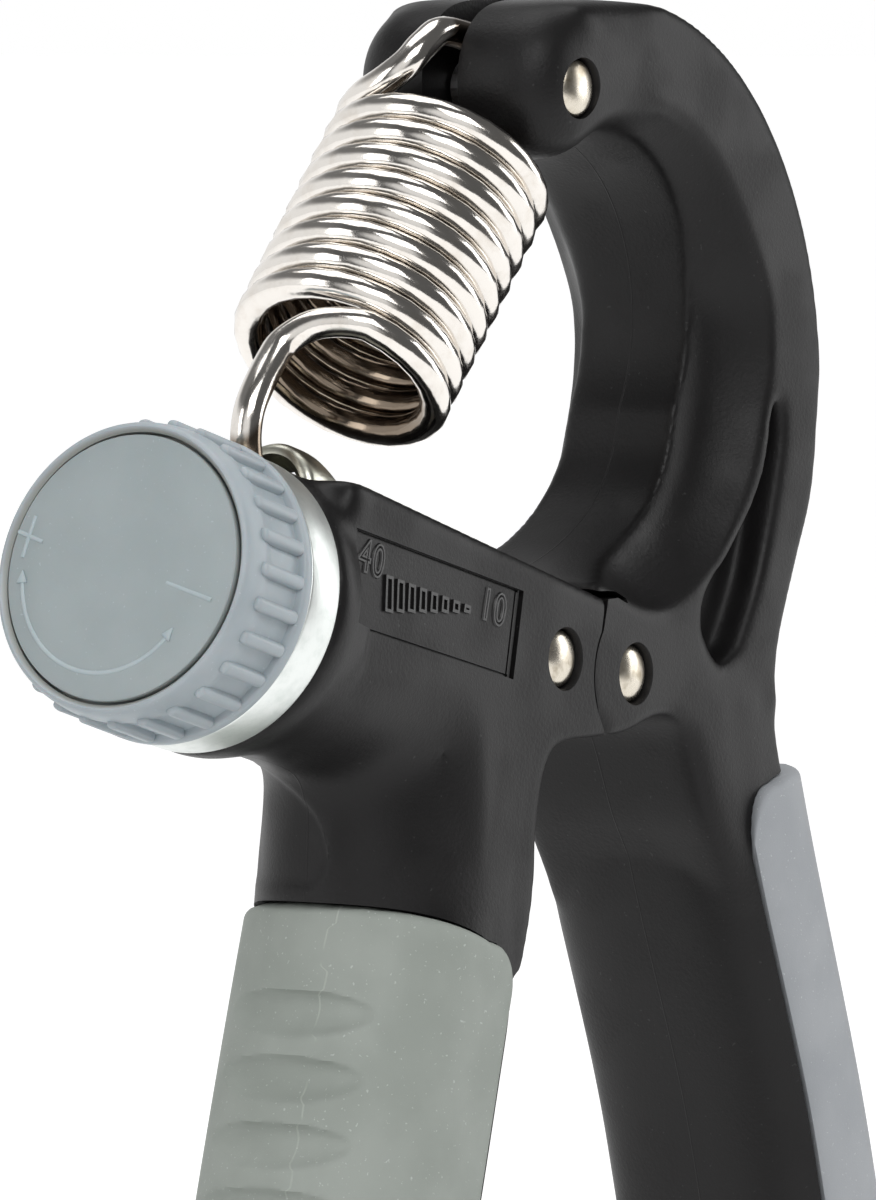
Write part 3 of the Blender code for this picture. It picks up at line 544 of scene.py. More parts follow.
def lathe_zinc():
    look = Look("turned_zinc", Metallic=1.0)
    stretched = look.node("ShaderNodeMapping", {}, {0: look.place, 3: (900.0, 60.0, 60.0)})
    lines = look.node("ShaderNodeTexNoise", {}, {"Vector": stretched, "Scale": 4.0, "Detail": 3.0})
    cloudy, fine = look.grain(1.6, 4, 0.6), look.grain(0.25, 2)
    shade = look.blend(cloudy.eased(0.4, 0.75) * 0.5, (0.80, 0.83, 0.81), (0.60, 0.65, 0.62))
    return look.give(Base_Color=shade, Roughness=0.34 + cloudy * 0.14,
                     Normal=look.bump(lines * 0.6 + fine * 0.4, 0.03, 0.5)).material


def shade_inside_turns(look):
    """1 where shade is painted: within about 8 mm of the line between the spring's two hooks, which is
    the inner side of the coil.
    """
    start, end = at(anchor[0], 0, anchor[1]), at(hook_seat[0], 0, hook_seat[1])
    return look.from_line(start, (end - start).normalized()).eased(8.9, 8.1)


# The spring gets painted shade, a dark brownish colour, on the inner side of its turns.
nickel = metal("polished_nickel", (0.80, 0.765, 0.72), (0.66, 0.60, 0.53), 0.10, painted_shade=shade_inside_turns)
rivet_nickel = metal("rivet_nickel", (0.66, 0.61, 0.52), (0.30, 0.25, 0.17), 0.24, 0.6, 0.03, 0.9)
ring_zinc = lathe_zinc()
nut_zinc = metal("yellowed_zinc", (0.66, 0.66, 0.58), (0.40, 0.40, 0.30), 0.27, 0.3, 0.05)
plain_steel = metal("plain_steel", (0.55, 0.55, 0.56), (0.36, 0.35, 0.33), 0.28)
brass = metal("brass", (0.74, 0.57, 0.27), (0.50, 0.36, 0.15), 0.26)


def oiled_nylon():
    look = Look("oiled_nylon", Specular_IOR_Level=0.5)
    fine = look.grain(0.3, 3)
    shade = look.blend(look.grain(3, 3), (0.60, 0.57, 0.49), (0.72, 0.69, 0.61))
    return look.give(Base_Color=shade, Roughness=0.4 + fine * 0.15,
                     Normal=look.bump(fine, 0.03, 0.5)).material


bush_nylon = oiled_nylon()
print("metals:", nickel.name, rivet_nickel.name, ring_zinc.name, nut_zinc.name)

# %% [markdown]
# ## The hidden pieces keep their CAD shapes
# Bushes, link plates, the screw and its fittings are plain turned or stamped parts, and hardly any of
# them shows. Their CAD shapes are right, so they only get a finish.

# %% Finishes for the hidden pieces
hidden = {"hinge_bush": brass, "link_bush": plain_steel, "anchor_bush": plain_steel,
          "link_plate_front": plain_steel, "link_plate_rear": plain_steel,
          "nose_bush": bush_nylon, "tail_bush": bush_nylon, "thrust_washer": brass,
          "knob_nut": nut_zinc, "knob_insert": brass, "adjuster_screw": plain_steel,
          "screw_clip": plain_steel}
for name, finish in hidden.items():
    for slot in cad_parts[name].material_slots:
        slot.material = finish
print(len(hidden), "CAD nodes keep their shape")

# %% Giving a piece its finish
def finished(made, finish, body, slot, *nodes):
    """Gives a piece its finish, sets it on its body, and hides the CAD nodes it stands for."""
    made.data.materials.clear()
    made.data.materials.append(finish)
    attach(made, body)
    if nodes:
        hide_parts(*nodes)
    print(made.name, "has", len(made.data.polygons), "faces")
    return made


# %% [markdown]
# ## Handles
# Each handle is round outside, where the fingers pull, and flatter inside. Its centre line starts
# close to the middle and spreads downwards. One rule gives any point of that section from an angle
# and a height. The black handle, the recess for the grip, and the grip itself all follow it, so
# they fit each other.

# %% The rule of a handle
half_depth, half_width, flat_depth = 12.5, 12.3, 9.2
foot_z = -95.0
edge_angle, grip_thick = radians(116), 2.2
between_x, spread_top, spread_start = 6.8, -10, 21.9    # the line between, and where it begins
spread, straightening = 0.345, 0.0007                   # how fast the handles part, going down
top_fall_end = 34                                       # the top edge's fall is gone this far down
corner_start = 0.72                                     # of the way from the middle to the edge
squareness = 0.6                                        # of the inner side's corners


def eased(t):
    """0 below 0, 1 above 1, and smooth between."""
    t = min(1.0, max(0.0, t))
    return t * t * (3 - 2 * t)


class Handle:
    """One handle: its side is -1 for the lever's and 1 for the arm's.

    The grip's top edge starts at grip_top and falls towards the inner side, by a power of the way
    round, to a rounded corner. The black neck above it starts at neck_top and reaches neck_outer.
    Lean and thinner bend the centre line and the inner side a little away from the shared rule.
    """

    def __init__(self, side, grip_top, fall, power, corner, neck_outer, neck_top, lean, thinner):
        self.side, self.grip_top, self.fall, self.power = side, grip_top, fall, power
        self.corner = corner
        self.neck_outer, self.neck_top, self.lean, self.thinner = neck_outer, neck_top, lean, thinner

    def middle(self, z):
        """Where the centre line runs at a height."""
        drop = spread_top - z
        lean = self.lean * (eased((-14 - z) / 34) - 0.4) * eased((z - foot_z) / 40)
        offset = spread_start + lean + spread * drop - straightening * drop * drop
        return between_x + self.side * offset

    def flat(self, z):
        """How far the inner side lies from the centre line."""
        return flat_depth + self.thinner * eased((-20 - z) / 26)

    def point(self, angle, z, inset=0.0, depth=None, width=half_width):
        """A point of the section. Angle 0 is outermost."""
        depth = half_depth if depth is None else depth
        outward_share, across = cos(angle), sin(angle)
        if outward_share >= 0:
            x = (depth - inset) * outward_share
            y = (width - inset) * across
        else:
            x = -(self.flat(z) - inset) * abs(outward_share) ** squareness
            y = (width - inset) * abs(across) ** squareness * (1 if across > 0 else -1)
        return at(self.middle(z) + self.side * x, y, z)

    def top_at(self, angle, base=None):
        """The height of the grip's top edge, which falls towards the inner side."""
        base = self.grip_top if base is None else base
        share = min(1.0, abs(angle) / edge_angle)
        left = max(0.0, 1 - (self.grip_top - base) / top_fall_end)
        corner_share = max(0.0, (share - corner_start) / (1 - corner_start))
        rounding = self.corner * (1 - sqrt(max(0.0, 1 - corner_share ** 2)))
        return base - (self.fall * share ** self.power + rounding) * left


lever_side = Handle(side=-1, grip_top=-19.9, fall=6.2, power=2.2, corner=3.0, neck_outer=-31.6,
                    neck_top=-7.0, lean=0.0, thinner=0.7)
arm_side = Handle(side=1, grip_top=-11.0, fall=3.0, power=4, corner=5.0, neck_outer=32.6,
                  neck_top=-4.0, lean=1.5, thinner=-1.0)


def black_core(handle, name):
    """The black handle from inside the body down to the foot, still without its recess."""
    under_grip, neck_width, foot_round = half_depth - 0.35, 11.1, 1.28

    def rule(s, t):
        z = handle.neck_top + (foot_z - handle.neck_top) * t
        neck = abs(handle.neck_outer - handle.middle(z))
        depth = neck + (under_grip - neck) * eased((handle.grip_top + 1 - z) / 8)
        width = neck_width + (half_width - neck_width) * eased((handle.grip_top - z) / 14 + 0.1)
        inset = foot_round * eased((foot_z + 1.8 - z) / 1.8)
        return handle.point(2 * pi * s, z, inset, depth, width)
    return skin(name, 72, 120, rule)


print("lever handle's foot is at x", round(lever_side.middle(foot_z), 1))

# %% [markdown]
# ## The arm
# The arm is one moulding: the C over the top, the hub of the hinge, and the right handle. On the real
# one its parts flow into each other with soft fillets. A hard union of plates would leave creases,
# so the parts are joined, wrapped in one skin by the voxel Remesh modifier, and smoothed. What has to
# stay crisp, such as slots and rivet holes, is cut after that.

# %% The arm's outline
bore_middle, bore_radius = (5.5, 31.0), 17.1


def arm_outline():
    """From the bore's upper end, round the hub and the handle's root, and over the top."""
    inner = arc(bore_middle, bore_radius, 122, -30, 36)
    saddle = [inner[-1], (18.9, 17.9), (15.9, 13.9), (11.2, 10.9), (5.6, 8.8), (-1.0, 7.4)]
    nose = [(-1.4, 4.0), (-2.2, 0.0), (-1.6, -4.0), (2.0, -6.5)]
    under = flowing([(5.5, -6.2), (9.5, -5.2), (12.8, -5.3), (15.2, -7.0), (16.8, -9.8),
                     (19.1, -14.7), (21.6, -18.4), (25.4, -24.0)], 3)
    waist = [(37.0, -24.0), (34.8, -16.0), (32.5, -11.0), (30.9, -4.5), (31.4, 0.5),
             (34.2, 7.3), (37.3, 14.5), (38.6, 24.0)]
    crown = [(4.6 + 34.0 * cos(pi / 2 * i / 40), 24 + 36.0 * sin(pi / 2 * i / 40))
             for i in range(41)]
    return (inner[:-1] + flowing(saddle, 4) + nose + under + flowing(waist, 5)[:-1] + crown
            + [(-3.0, 60.0), (-4.0, 53.0)])


# %% [markdown]
# The C's side is hollowed between its rim and a flat web. The rim isn't round, so its distance from
# one middle point is given at some angles. A skin with that outline cuts the hollow, and its slope
# runs down steeply at the rim and softly at the web.

# %% The hollow in the C's side
rim_middle = (7.3, 28.7)
rim_line = [(-180, 21.3), (-130, 21.6), (-116, 22.6), (-108, 22.8), (-102, 22.6), (-90, 24.0),
            (-80, 24.8), (-72, 24.5), (-64, 24.5), (-55, 24.1), (-45, 23.4), (-34, 23.2),
            (-24, 22.5), (-11, 22.4), (-2, 22.4), (8, 22.2), (18, 21.3), (31, 20.6), (47, 20.7),
            (60, 21.1), (75, 21.6), (91, 21.9), (120, 21.5), (180, 21.3)]


def rim_radius(angle):
    """How far the hollow's edge lies from its middle, at an angle in degrees."""
    for (start, low), (end, high) in zip(rim_line, rim_line[1:]):
        if angle <= end:
            return low + (high - low) * (angle - start) / (end - start)
    return rim_line[-1][1]


def channel(name, side):
    """The hollow's cutter. Its section is given as (share of the rim's radius, y)."""
    section = [(1.0, 13.0), (1.0, 11.5), (0.997, 11.05), (0.98, 10.4), (0.945, 9.4), (0.90, 8.3),
               (0.845, 7.2), (0.79, 6.5), (0.73, 6.15), (0.66, 6.05), (0.5, 6.05)]
    closer = flowing(section, 2)
    steps = len(closer) - 1

    def rule(s, t):
        share, y = closer[round(t * steps)]
        angle = -180 + 360 * s
        reach = share * (rim_radius(angle - 4) + 2 * rim_radius(angle) + rim_radius(angle + 4)) / 4
        return at(rim_middle[0] + reach * cos(radians(angle)), side * y,
                  rim_middle[1] + reach * sin(radians(angle)))
    return skin(name, 120, steps, rule)


arm = plate("arm_body", arm_outline(), -half_thick, half_thick)
rounded(arm, 3.0, 4)
for label, side in (("front", -1), ("rear", 1)):
    cut(arm, channel("channel_" + label, side))
print("arm slab:", len(arm.data.polygons), "faces")

# %% [markdown]
# The front of the arm also has a long drop-shaped recess beside the rim, where the moulding would be
# too thick otherwise. It is wide at its lower end and runs out to a point along the rim.

# %% The drop-shaped recess
drop_left = [(19.0, 0.9), (17.6, 3.3), (18.9, 6.2), (22.4, 8.9), (25.1, 11.7), (27.3, 14.3),
             (29.0, 17.4), (30.3, 22.9)]
drop_right = [(31.3, 23.2), (31.5, 20.0), (30.8, 16.7), (29.3, 12.0), (27.0, 6.1), (23.6, 0.4)]
drop_floor = -7.5
drop = plate("drop_recess", flowing(drop_left, 3) + flowing(drop_right, 3) + [(20.9, -0.9)],
             -half_thick - 2, drop_floor)
rounded(drop, 1.2, 4, 60)
cut(arm, drop)
print("drop recess:", round(half_thick + drop_floor, 1), "mm deep")

# %% [markdown]
# The ears at the C's tip are a short turned bar, still in one piece. Slab, ears and handle are joined,
# wrapped in one skin and smoothed all over. A vertex group then smooths some places far longer,
# where the real moulding flows most softly: the ears, the bore's rear, the drop's rim and the root
# of the hub.

# %% One soft skin
ear_radius, ear_middle = 7.3, (-2.7, 52.6)
skin_voxel = 0.46 * mm
ear = turned("ear", [(0, -half_thick), (ear_radius, -half_thick), (ear_radius, half_thick),
                     (0, half_thick)], 64, through(ear_middle))
rounded(ear, 5.2, 8, 60)


def one_skin(first, *others):
    """Joins pieces, wraps them in one mesh of small squares, and smooths it."""
    made = join_all(first, *others)
    modified(made, "REMESH", mode="VOXEL", voxel_size=skin_voxel, use_smooth_shade=True)
    return modified(made, "SMOOTH", factor=0.5, iterations=8)


def softened(made, name, iterations, rule):
    """Smooths a piece more where rule(x, y, z), in millimetres, gives a share from 0 to 1."""
    group = made.vertex_groups.new(name=name)
    for vertex in made.data.vertices:
        share = rule(*((vertex.co - seam) / mm))
        if share > 0:
            group.add([vertex.index], share, "REPLACE")
    modified(made, "SMOOTH", factor=0.5, iterations=iterations, vertex_group=name)


def from_bore(x, z):
    """How far a place lies from the bore's middle."""
    return sqrt((x - bore_middle[0]) ** 2 + (z - bore_middle[1]) ** 2)


arm = one_skin(arm, ear, black_core(arm_side, "arm_core"))
softened(arm, "ear", 120, lambda x, y, z: eased((11 - x) / 6) * eased((z - 42) / 4))
softened(arm, "bore_rear", 40,
         lambda x, y, z: eased((y - 2) / 2) * eased((20.5 - from_bore(x, z)) / 2))
softened(arm, "drop", 14,
         lambda x, y, z: eased((-y - 6) / 2) * eased((x - 15) / 3) * eased((26 - z) / 3)
         * eased((z + 4) / 3))
softened(arm, "hub_root", 60,
         lambda x, y, z: eased((-4.5 - z) / 3) * eased((z + 26) / 5) * eased((x - 12) / 4)
         * eased((abs(y) - 6) / 3))
print("arm skin:", len(arm.data.polygons), "faces")

# %% [markdown]
# Now the crisp cuts: the bed of the grip, the slot between the ears, the slot for the link plates, a
# stepped hole at each rivet, and the round seam to the lever. The bed's cutter follows the handle's
# own rule, a hair wider than the grip. The seam's cutter has a small notch above the round part,
# where the two halves meet at the top.

# %% Crisp cuts in the arm
def rivet_hole(name, centre):
    """A through hole with a wider bore at both faces, and a tiny lead-in."""
    wide, floor, shank = 2.75, 9.0, 2.1
    half = [(0, 13), (wide + 1.4, 13), (wide + 0.15, 11.05), (wide, 10.8), (wide, floor),
            (shank, floor)]
    profile = half + [(r, -h) for r, h in reversed(half)]
    return turned(name, profile, 48, through(centre))


def thick_shell(name, handle, reach, count, down, level, outside, inside):
    """A skin of some thickness round a handle's outer side, closed all round.

    level(t) gives its heights, outside(angle, z) its face's inset, and inside the other face's.
    """
    columns = 2 * count + 2

    def rule(s, t):
        column, row = round(s * columns) % columns, round(t * down)
        out = column <= count
        share = column / count if out else 1 - (column - count - 1) / count
        angle = -reach + 2 * reach * share
        z = handle.top_at(angle, level(min(1, max(0, (row - 1) / (down - 2)))))
        shallow = outside(angle, z)
        inset = shallow if out else inside
        if row in (0, down):
            inset = (shallow + inside) / 2
        return handle.point(angle, z, inset)
    return skin(name, columns, down, rule, capped=False)


def grip_bed(handle, name):
    """What the grip takes up with a hair's gap round it, and everything outside it."""
    gap_above, gap_beside, gap_under, out, below = 0.25, 0.28, 0.1, 3.5, 4
    top, low = handle.grip_top + gap_above, foot_z - below
    return thick_shell(name, handle, edge_angle + gap_beside / half_width, count=60, down=62,
                       level=lambda t: top + (low - top) * t, outside=lambda angle, z: -out,
                       inside=grip_thick + gap_under)


cut(arm, grip_bed(arm_side, "arm_grip_bed"))
ear_gap, link_gap, hub_radius = 1.9, 4.6, 6.9
cut(arm, plate("ear_slot", [(-17, 40), (3.4, 40), (3.4, 64), (-17, 64)], -ear_gap, ear_gap))
link_slot = arc(hinge_pin, 5.2, 90, -90, 20) + [(3.9, -14), (-4, -14), (-4, 4.2)]
cut(arm, plate("link_slot", link_slot, -link_gap, link_gap))
notch = [(1.4, 6.75), (3.2, 6.6), (4.9, 5.95), (4.7, 5.45), (3.0, 6.05), (1.2, 6.0)]
seam_left = notch + arc(hinge_pin, hub_radius, 143, 238, 28)
seam_left += [(2.2, -14), (-12, -14), (-12, 10.2), (-6.9, 8.7), (-0.2, 6.8)]
cut(arm, rivet_hole("hinge_hole", hinge_pin))
cut(arm, rivet_hole("anchor_hole", anchor))
cut(arm, plate("seam_left", seam_left, -14, 14))
soft_shade(arm, 38)
finished(arm, nylon, "arm", "black_nylon", "arm_handle")

# %% [markdown]
# ## The lever
# The lever is the other moulding: the barrel that holds the screw, the nose behind the knob, and the
# left handle. It is made as the arm is: the barrel's slab, a turned belly that rounds its lower
# side, a turned nose and the handle are joined and wrapped. Under the barrel the front runs softly
# into the neck, so the vertices there are smoothed much longer than the rest.

# %% The lever's outline
def lever_outline():
    """The barrel's slab and the neck, down to a little above the grip's end."""
    block_front = nose_front + 2.6
    outline = [barrel_mm(block_front, 12.2), (3.6, 5.4), (3.0, -6.3)]
    outline += flowing([(-0.7, -6.5), (-4.0, -6.5), (-6.8, -6.9), (-8.3, -8.0), (-9.4, -10.2),
                        (-10.2, -14.0), (-10.5, -18.7), (-11.3, -22.5), (-12.8, -27.0)], 4)
    outline += flowing([(-20.5, -27.0), (-20.5, -18.7), (-20.7, -14.0), (-22.0, -8.0),
                        (-23.0, -5.0)], 4)
    return outline + [barrel_mm(block_front + 16, -5.0), barrel_mm(block_front, -5.0)]


lever = plate("lever_body", lever_outline(), -half_thick, half_thick)
rounded(lever, 2.0, 4)
belly_profile = [(0, nose_front + 0.6), (12.4, nose_front + 0.6), (11.9, nose_front + 5),
                 (11.7, nose_front + 16), (11.6, nose_front + 25), (0, nose_front + 26)]
belly = turned("belly", belly_profile, 96, turn_to(on_barrel(), along))
sides = plate("belly_sides", [(-60, -14), (-10, -14), (-10, 12), (-60, 12)],
              -half_thick, half_thick)
cut(belly, sides, "INTERSECT")
nose_profile = [(0, nose_front), (12.7, nose_front), (13.15, nose_front + 0.15),
                (13.3, nose_front + 0.6), (13.3, nose_front + 2.4), (12.8, nose_front + 4.2),
                (11.9, nose_front + 7.5), (0, nose_front + 7.5)]
nose = turned("nose", nose_profile, 96, turn_to(on_barrel(), along))
lever = one_skin(lever, nose, belly, black_core(lever_side, "lever_core"))
softened(lever, "neck", 260,
         lambda x, y, z: eased((x + 44) / 4) * eased((-18.5 - x) / 4) * eased((1 - z) / 6)
         * eased((z + 17) / 6))
softened(lever, "shoulder", 40,
         lambda x, y, z: eased((x + 47) / 2) * eased((-37.5 - x) / 3) * eased((z - 2) / 4))
print("lever skin:", len(lever.data.polygons), "faces")

# %% [markdown]
# The outer side of the neck has a shallow pad for the thumb's root, with a curved edge. It is pressed
# in by moving the vertices behind that curve, which keeps the surface's flow on both sides.

# %% The pad on the neck
pad_edge = flowing([(12.0, -7.0), (5.7, -7.5), (3.3, -8.3), (1.2, -9.8), (-1.0, -12.0),
                    (-2.0, -14.6), (-2.0, -16.4), (-1.2, -17.7)], 6)


def inside_pad(y, z):
    """How far a place lies behind the pad's edge, in millimetres."""
    (y0, z0), (y1, z1) = min(zip(pad_edge, pad_edge[1:]),
                             key=lambda p: (p[0][0] - y) ** 2 + (p[0][1] - z) ** 2)
    gone = sqrt((y0 - y) ** 2 + (z0 - z) ** 2)
    behind = (y1 - y0) * (z - z0) - (z1 - z0) * (y - y0) > 0
    return gone if behind else -gone


pad_deep, pad_half_wide, pad_low = 0.38, 10, -18.9
for vertex in lever.data.vertices:
    x, y, z = (vertex.co - seam) / mm
    if x < -24 and pad_low + 0.1 < z < -6 and abs(y) < pad_half_wide:
        share = eased(inside_pad(y, z) / 0.5 + 0.3) * eased((pad_half_wide - abs(y)) / 3)
        vertex.co.x += pad_deep * mm * share * eased((z - pad_low) / 1.2)
lever.data.update()
print("pad edge has", len(pad_edge), "points")

# %% [markdown]
# The barrel is open at the top, where the nut travels in a trough, and bored for the screw at both
# ends of it. The trough is worked out from what lies in it, front to back: a washer, a clip, the nut
# with its travel, and a small gap at each. The other cuts are the grip's bed, the pocket for the link
# plates, a rivet hole, and the seam, which follows the hub's round edge a quarter millimetre off.

# %% Crisp cuts in the lever
fit_gap, washer_thick, clip_thick = 0.3, 0.8, 0.8
nut_long, nut_travel = 8.1, 15
trough_front = nose_front + 3.0
nut_front = trough_front + fit_gap + washer_thick + fit_gap + clip_thick + fit_gap
trough_end = nut_front + nut_long + nut_travel + fit_gap


def barrel_box(name, low, high):
    """A box on the barrel: distance, y and height above the axis."""
    corners = [(low[0], low[2]), (high[0], low[2]), (high[0], high[2]), (low[0], high[2])]
    return plate(name, [barrel_mm(*corner) for corner in corners], low[1], high[1])


def barrel_bore(name, start, end, radius):
    """A round cutter on the barrel's axis."""
    return turned(name, [(0, start), (radius, start), (radius, end), (0, end)], 40,
                  turn_to(on_barrel(), along))


cut(lever, grip_bed(lever_side, "lever_grip_bed"))
cut(lever, barrel_box("trough", (trough_front, -5.3, -5.3), (trough_end, 5.3, 24)))
cut(lever, barrel_box("hook_relief", (nose_front + 0.6, -2.3, 8.6), (trough_front + 1, 2.3, 24)))
cut(lever, barrel_bore("nose_bore", nose_front - 1, trough_front + 1, 5.2))
cut(lever, barrel_bore("tail_bore", trough_end - 1, trough_end + 3.5, 5.2))
pocket = [(-11.82, -3.94), (-11.82, 5.86), (2.0, 4.86), (2.0, -5.54)]
cut(lever, plate("link_pocket", pocket, -link_gap, link_gap))
cut(lever, rivet_hole("link_hole", link_pin))
seam_right = [(0.85, 6.6)] + arc(hinge_pin, hub_radius + 0.25, 145, 238, 28)
seam_right += [(2.2, -14), (12, -14), (12, 14), (0.85, 14)]
cut(lever, plate("seam_right", seam_right, -14, 14))
print("lever cuts:", len(lever.data.polygons), "faces")

# %% [markdown]
# ## The scale
# A sunk panel on the barrel shows how strong the spring is set, from 40 down to 10. Fine grooves
# frame it, with a double one at its right end. The numbers and the eight bars between them stand
# out as thin outlines, smoother than the skin round them. A bar is a flat face that is inset,
# emptied and raised. A number is a text whose outline is bevelled and made a mesh.

# %% The scale panel
panel_corners = [(-39.6, 14.0), (-12.9, 7.35), (-14.6, -0.45), (-42.3, 5.95)]
panel_floor = -10.74
cut(lever, plate("panel", panel_corners, -13, panel_floor))


def groove(name, start, end, wide, floor=-10.5):
    """A fine straight cut in the panel's floor, from start to end."""
    run = (Vector(end) - Vector(start)).normalized() * wide / 2
    aside = Vector((-run.y, run.x))
    corners = [Vector(start) + aside, Vector(start) - aside,
               Vector(end) - aside, Vector(end) + aside]
    cut(lever, plate(name, [tuple(c) for c in corners], -13, floor), tolerant=True)


groove("end_line", (-13.05, 7.35), (-14.75, -0.42), 0.34, -10.45)
groove("second_line", (-13.85, 7.5), (-15.5, -0.22), 0.24)
groove("top_line", (-39.2, 13.7), (-13.5, 7.32), 0.2)
groove("low_line", (-41.6, 5.98), (-15.2, -0.1), 0.2)
soft_shade(lever, 38)
finished(lever, nylon, "lever", "black_nylon", "lever_handle")

# %% Raised marks
def smooth_nylon():
    """The nylon of the numbers and bars, which the mould polished smoother."""
    look = Look("smooth_black_nylon", Specular_IOR_Level=0.5)
    fine, cloudy = look.grain(0.3, 2), look.grain(6, 2)
    colour = look.blend(cloudy, (0.008, 0.0078, 0.0080), (0.012, 0.0116, 0.012))
    return look.give(Base_Color=colour, Roughness=0.30 + fine * 0.08,
                     Normal=look.bump(fine, 0.015, 0.5)).material


marks_nylon = smooth_nylon()


def bar_frame(name, corners, wall=0.28, rise=0.25):
    """An outlined bar: a flat face is inset, its middle is taken out, and the rest is raised."""
    made = flat_face(name, [at(x, panel_floor + 0.02, z) for x, z in corners])
    edit(made)
    mesh_ops.inset(thickness=wall * mm, depth=0)
    mesh_ops.delete(type="FACE")
    done()
    return extruded(made, (0, -rise * mm, 0))


# %% Bars and numbers
bar_count = 8
marks = []
for i in range(bar_count):
    share = i / (bar_count - 1)
    left = -34.95 + 12.55 * share
    width = 1.15 - 0.15 * share
    low, high = 6.55 - 0.62 * share, 9.75 - 3.1 * share
    marks.append(bar_frame(f"bar_{i}", [(left, high), (left + width, high - 0.25),
                                        (left + width - 0.1, low - 0.25), (left - 0.2, low)]))


def number(name, text, x, z, height, squeeze):
    """A number drawn as the thin outline of its figures."""
    ops.select_all(action="DESELECT")
    ops.text_add()
    made = named(name)
    made.data.body = text
    made.data.size = height * 1.4 * mm
    made.data.fill_mode = "NONE"
    made.data.bevel_depth = 0.17 * mm
    made.data.bevel_resolution = 1
    made.data.space_character = 1.12
    only(made)
    ops.convert(target="MESH")
    made = bpy.context.object
    place = Matrix.Translation(at(x, panel_floor, z)) @ Matrix.Rotation(pi / 2, 4, "X")
    place = place @ Matrix.Rotation(tilt, 4, "Z") @ Matrix.Diagonal((squeeze, 1, 1, 1))
    return settle(made, place)


marks.append(number("forty", "40", -39.4, 10.45, 2.9, 0.95))
marks.append(number("ten", "10", -20.0, 5.35, 2.9, 0.98))
scale_marks = renamed(join_all(*marks), "scale_marks")
soft_shade(scale_marks, 40)
finished(scale_marks, marks_nylon, "lever", "black_nylon")

# %% [markdown]
# ## Grips
# Each grip is a thick skin bent round the handle's outer side, with ten finger dimples. Rolling up
# one grid keeps the rubber's thickness even. The rule that places its vertices also presses in the
# dimples, which gives them crisp rims and soft ends, and rounds the edges. The top edge is a
# little ragged where the rubber flashed over the nylon.

# %% Grips
def droop(distance, radius):
    """How far a rounded edge falls away at a distance from it."""
    if distance >= radius:
        return 0.0
    distance = max(distance, 0.0)
    return radius - sqrt(max(0.0, radius ** 2 - (radius - distance) ** 2))


dimple_half_long, dimple_half_high, dimple_deep = 7.8, 1.95, 1.25


def dimple(angle, z):
    """How deep the surface is pressed in, in millimetres."""
    across = angle * half_width
    found = 0.0
    for i in range(dimple_count):
        up = z - (first_dimple - dimple_pitch * i)
        inside = 1 - (across / dimple_half_long) ** 2 - (up / dimple_half_high) ** 2
        if inside > 0:
            found = dimple_deep * inside ** 0.55
    return found


def rubber_grip(handle, name):
    """A grip: the bent skin with its dimples and rounded edges, ragged at the top."""
    side_round, top_round, foot_round = 0.6, 0.75, 1.6

    def outside(angle, z):
        side_gone = (edge_angle - abs(angle)) * half_width
        top_gone, foot_gone = handle.top_at(angle) - z, z - foot_z
        edge = max(droop(side_gone, side_round), droop(top_gone, top_round),
                   droop(foot_gone, foot_round))
        return edge + dimple(angle, z)

    def level(t):
        return handle.grip_top + (foot_z - handle.grip_top) * t ** 1.12

    made = thick_shell(name, handle, edge_angle, 112, 232, level, outside, grip_thick)
    for vertex in made.data.vertices:
        gone = seam.z + (handle.grip_top + 0.2) * mm - vertex.co.z
        ragged = noise.noise(Vector((vertex.co.y * 700, handle.side * 3, 0)))
        vertex.co.z += 0.16 * mm * ragged * max(0.0, 1 - gone / (0.8 * mm))
    return soft_shade(made, 50)


lever_grip = rubber_grip(lever_side, "lever_grip_skin")
arm_grip = rubber_grip(arm_side, "arm_grip_skin")
finished(lever_grip, lever_rubber, "lever", "lever_rubber", "lever_grip")
finished(arm_grip, arm_rubber, "arm", "arm_rubber", "arm_grip")

# %% [markdown]
# ## Rivets
# Each pin is a rivet with a low domed head, set a little under the face. All three are alike, so one
# is turned and the others are copies, each with its own mesh.

# %% Rivets
rivet_half = [(0, 10.95), (0.9, 10.9), (1.5, 10.78), (2.0, 10.6), (2.4, 10.36), (2.6, 10.1),
              (2.66, 9.85), (2.6, 9.6), (1.8, 9.3)]
rivet_profile = rivet_half + [(r, -h) for r, h in reversed(rivet_half)]
hinge_rivet = turned("hinge_rivet", rivet_profile, 48, through(hinge_pin))
soft_shade(hinge_rivet, 50)
for name, centre, body, node in (("link_rivet", link_pin, "lever", "link_pin"),
                                 ("anchor_rivet", anchor, "anchor_pin", "anchor_pin")):
    shift = at(centre[0], 0, centre[1]) - at(hinge_pin[0], 0, hinge_pin[1])
    copy = settle(twin(hinge_rivet, name), Matrix.Translation(shift))
    finished(copy, rivet_nickel, body, "nickel", node)
finished(hinge_rivet, rivet_nickel, "arm", "nickel", "hinge_pin")

# %% [markdown]
# ## The knob
# The knob is a moulded cup, turned with many sides. One rib is a small block with rounded edges. It
# is copied round the cup's side, and a union lets all copies grow out of it. The rounding is what
# lets the light catch each rib.

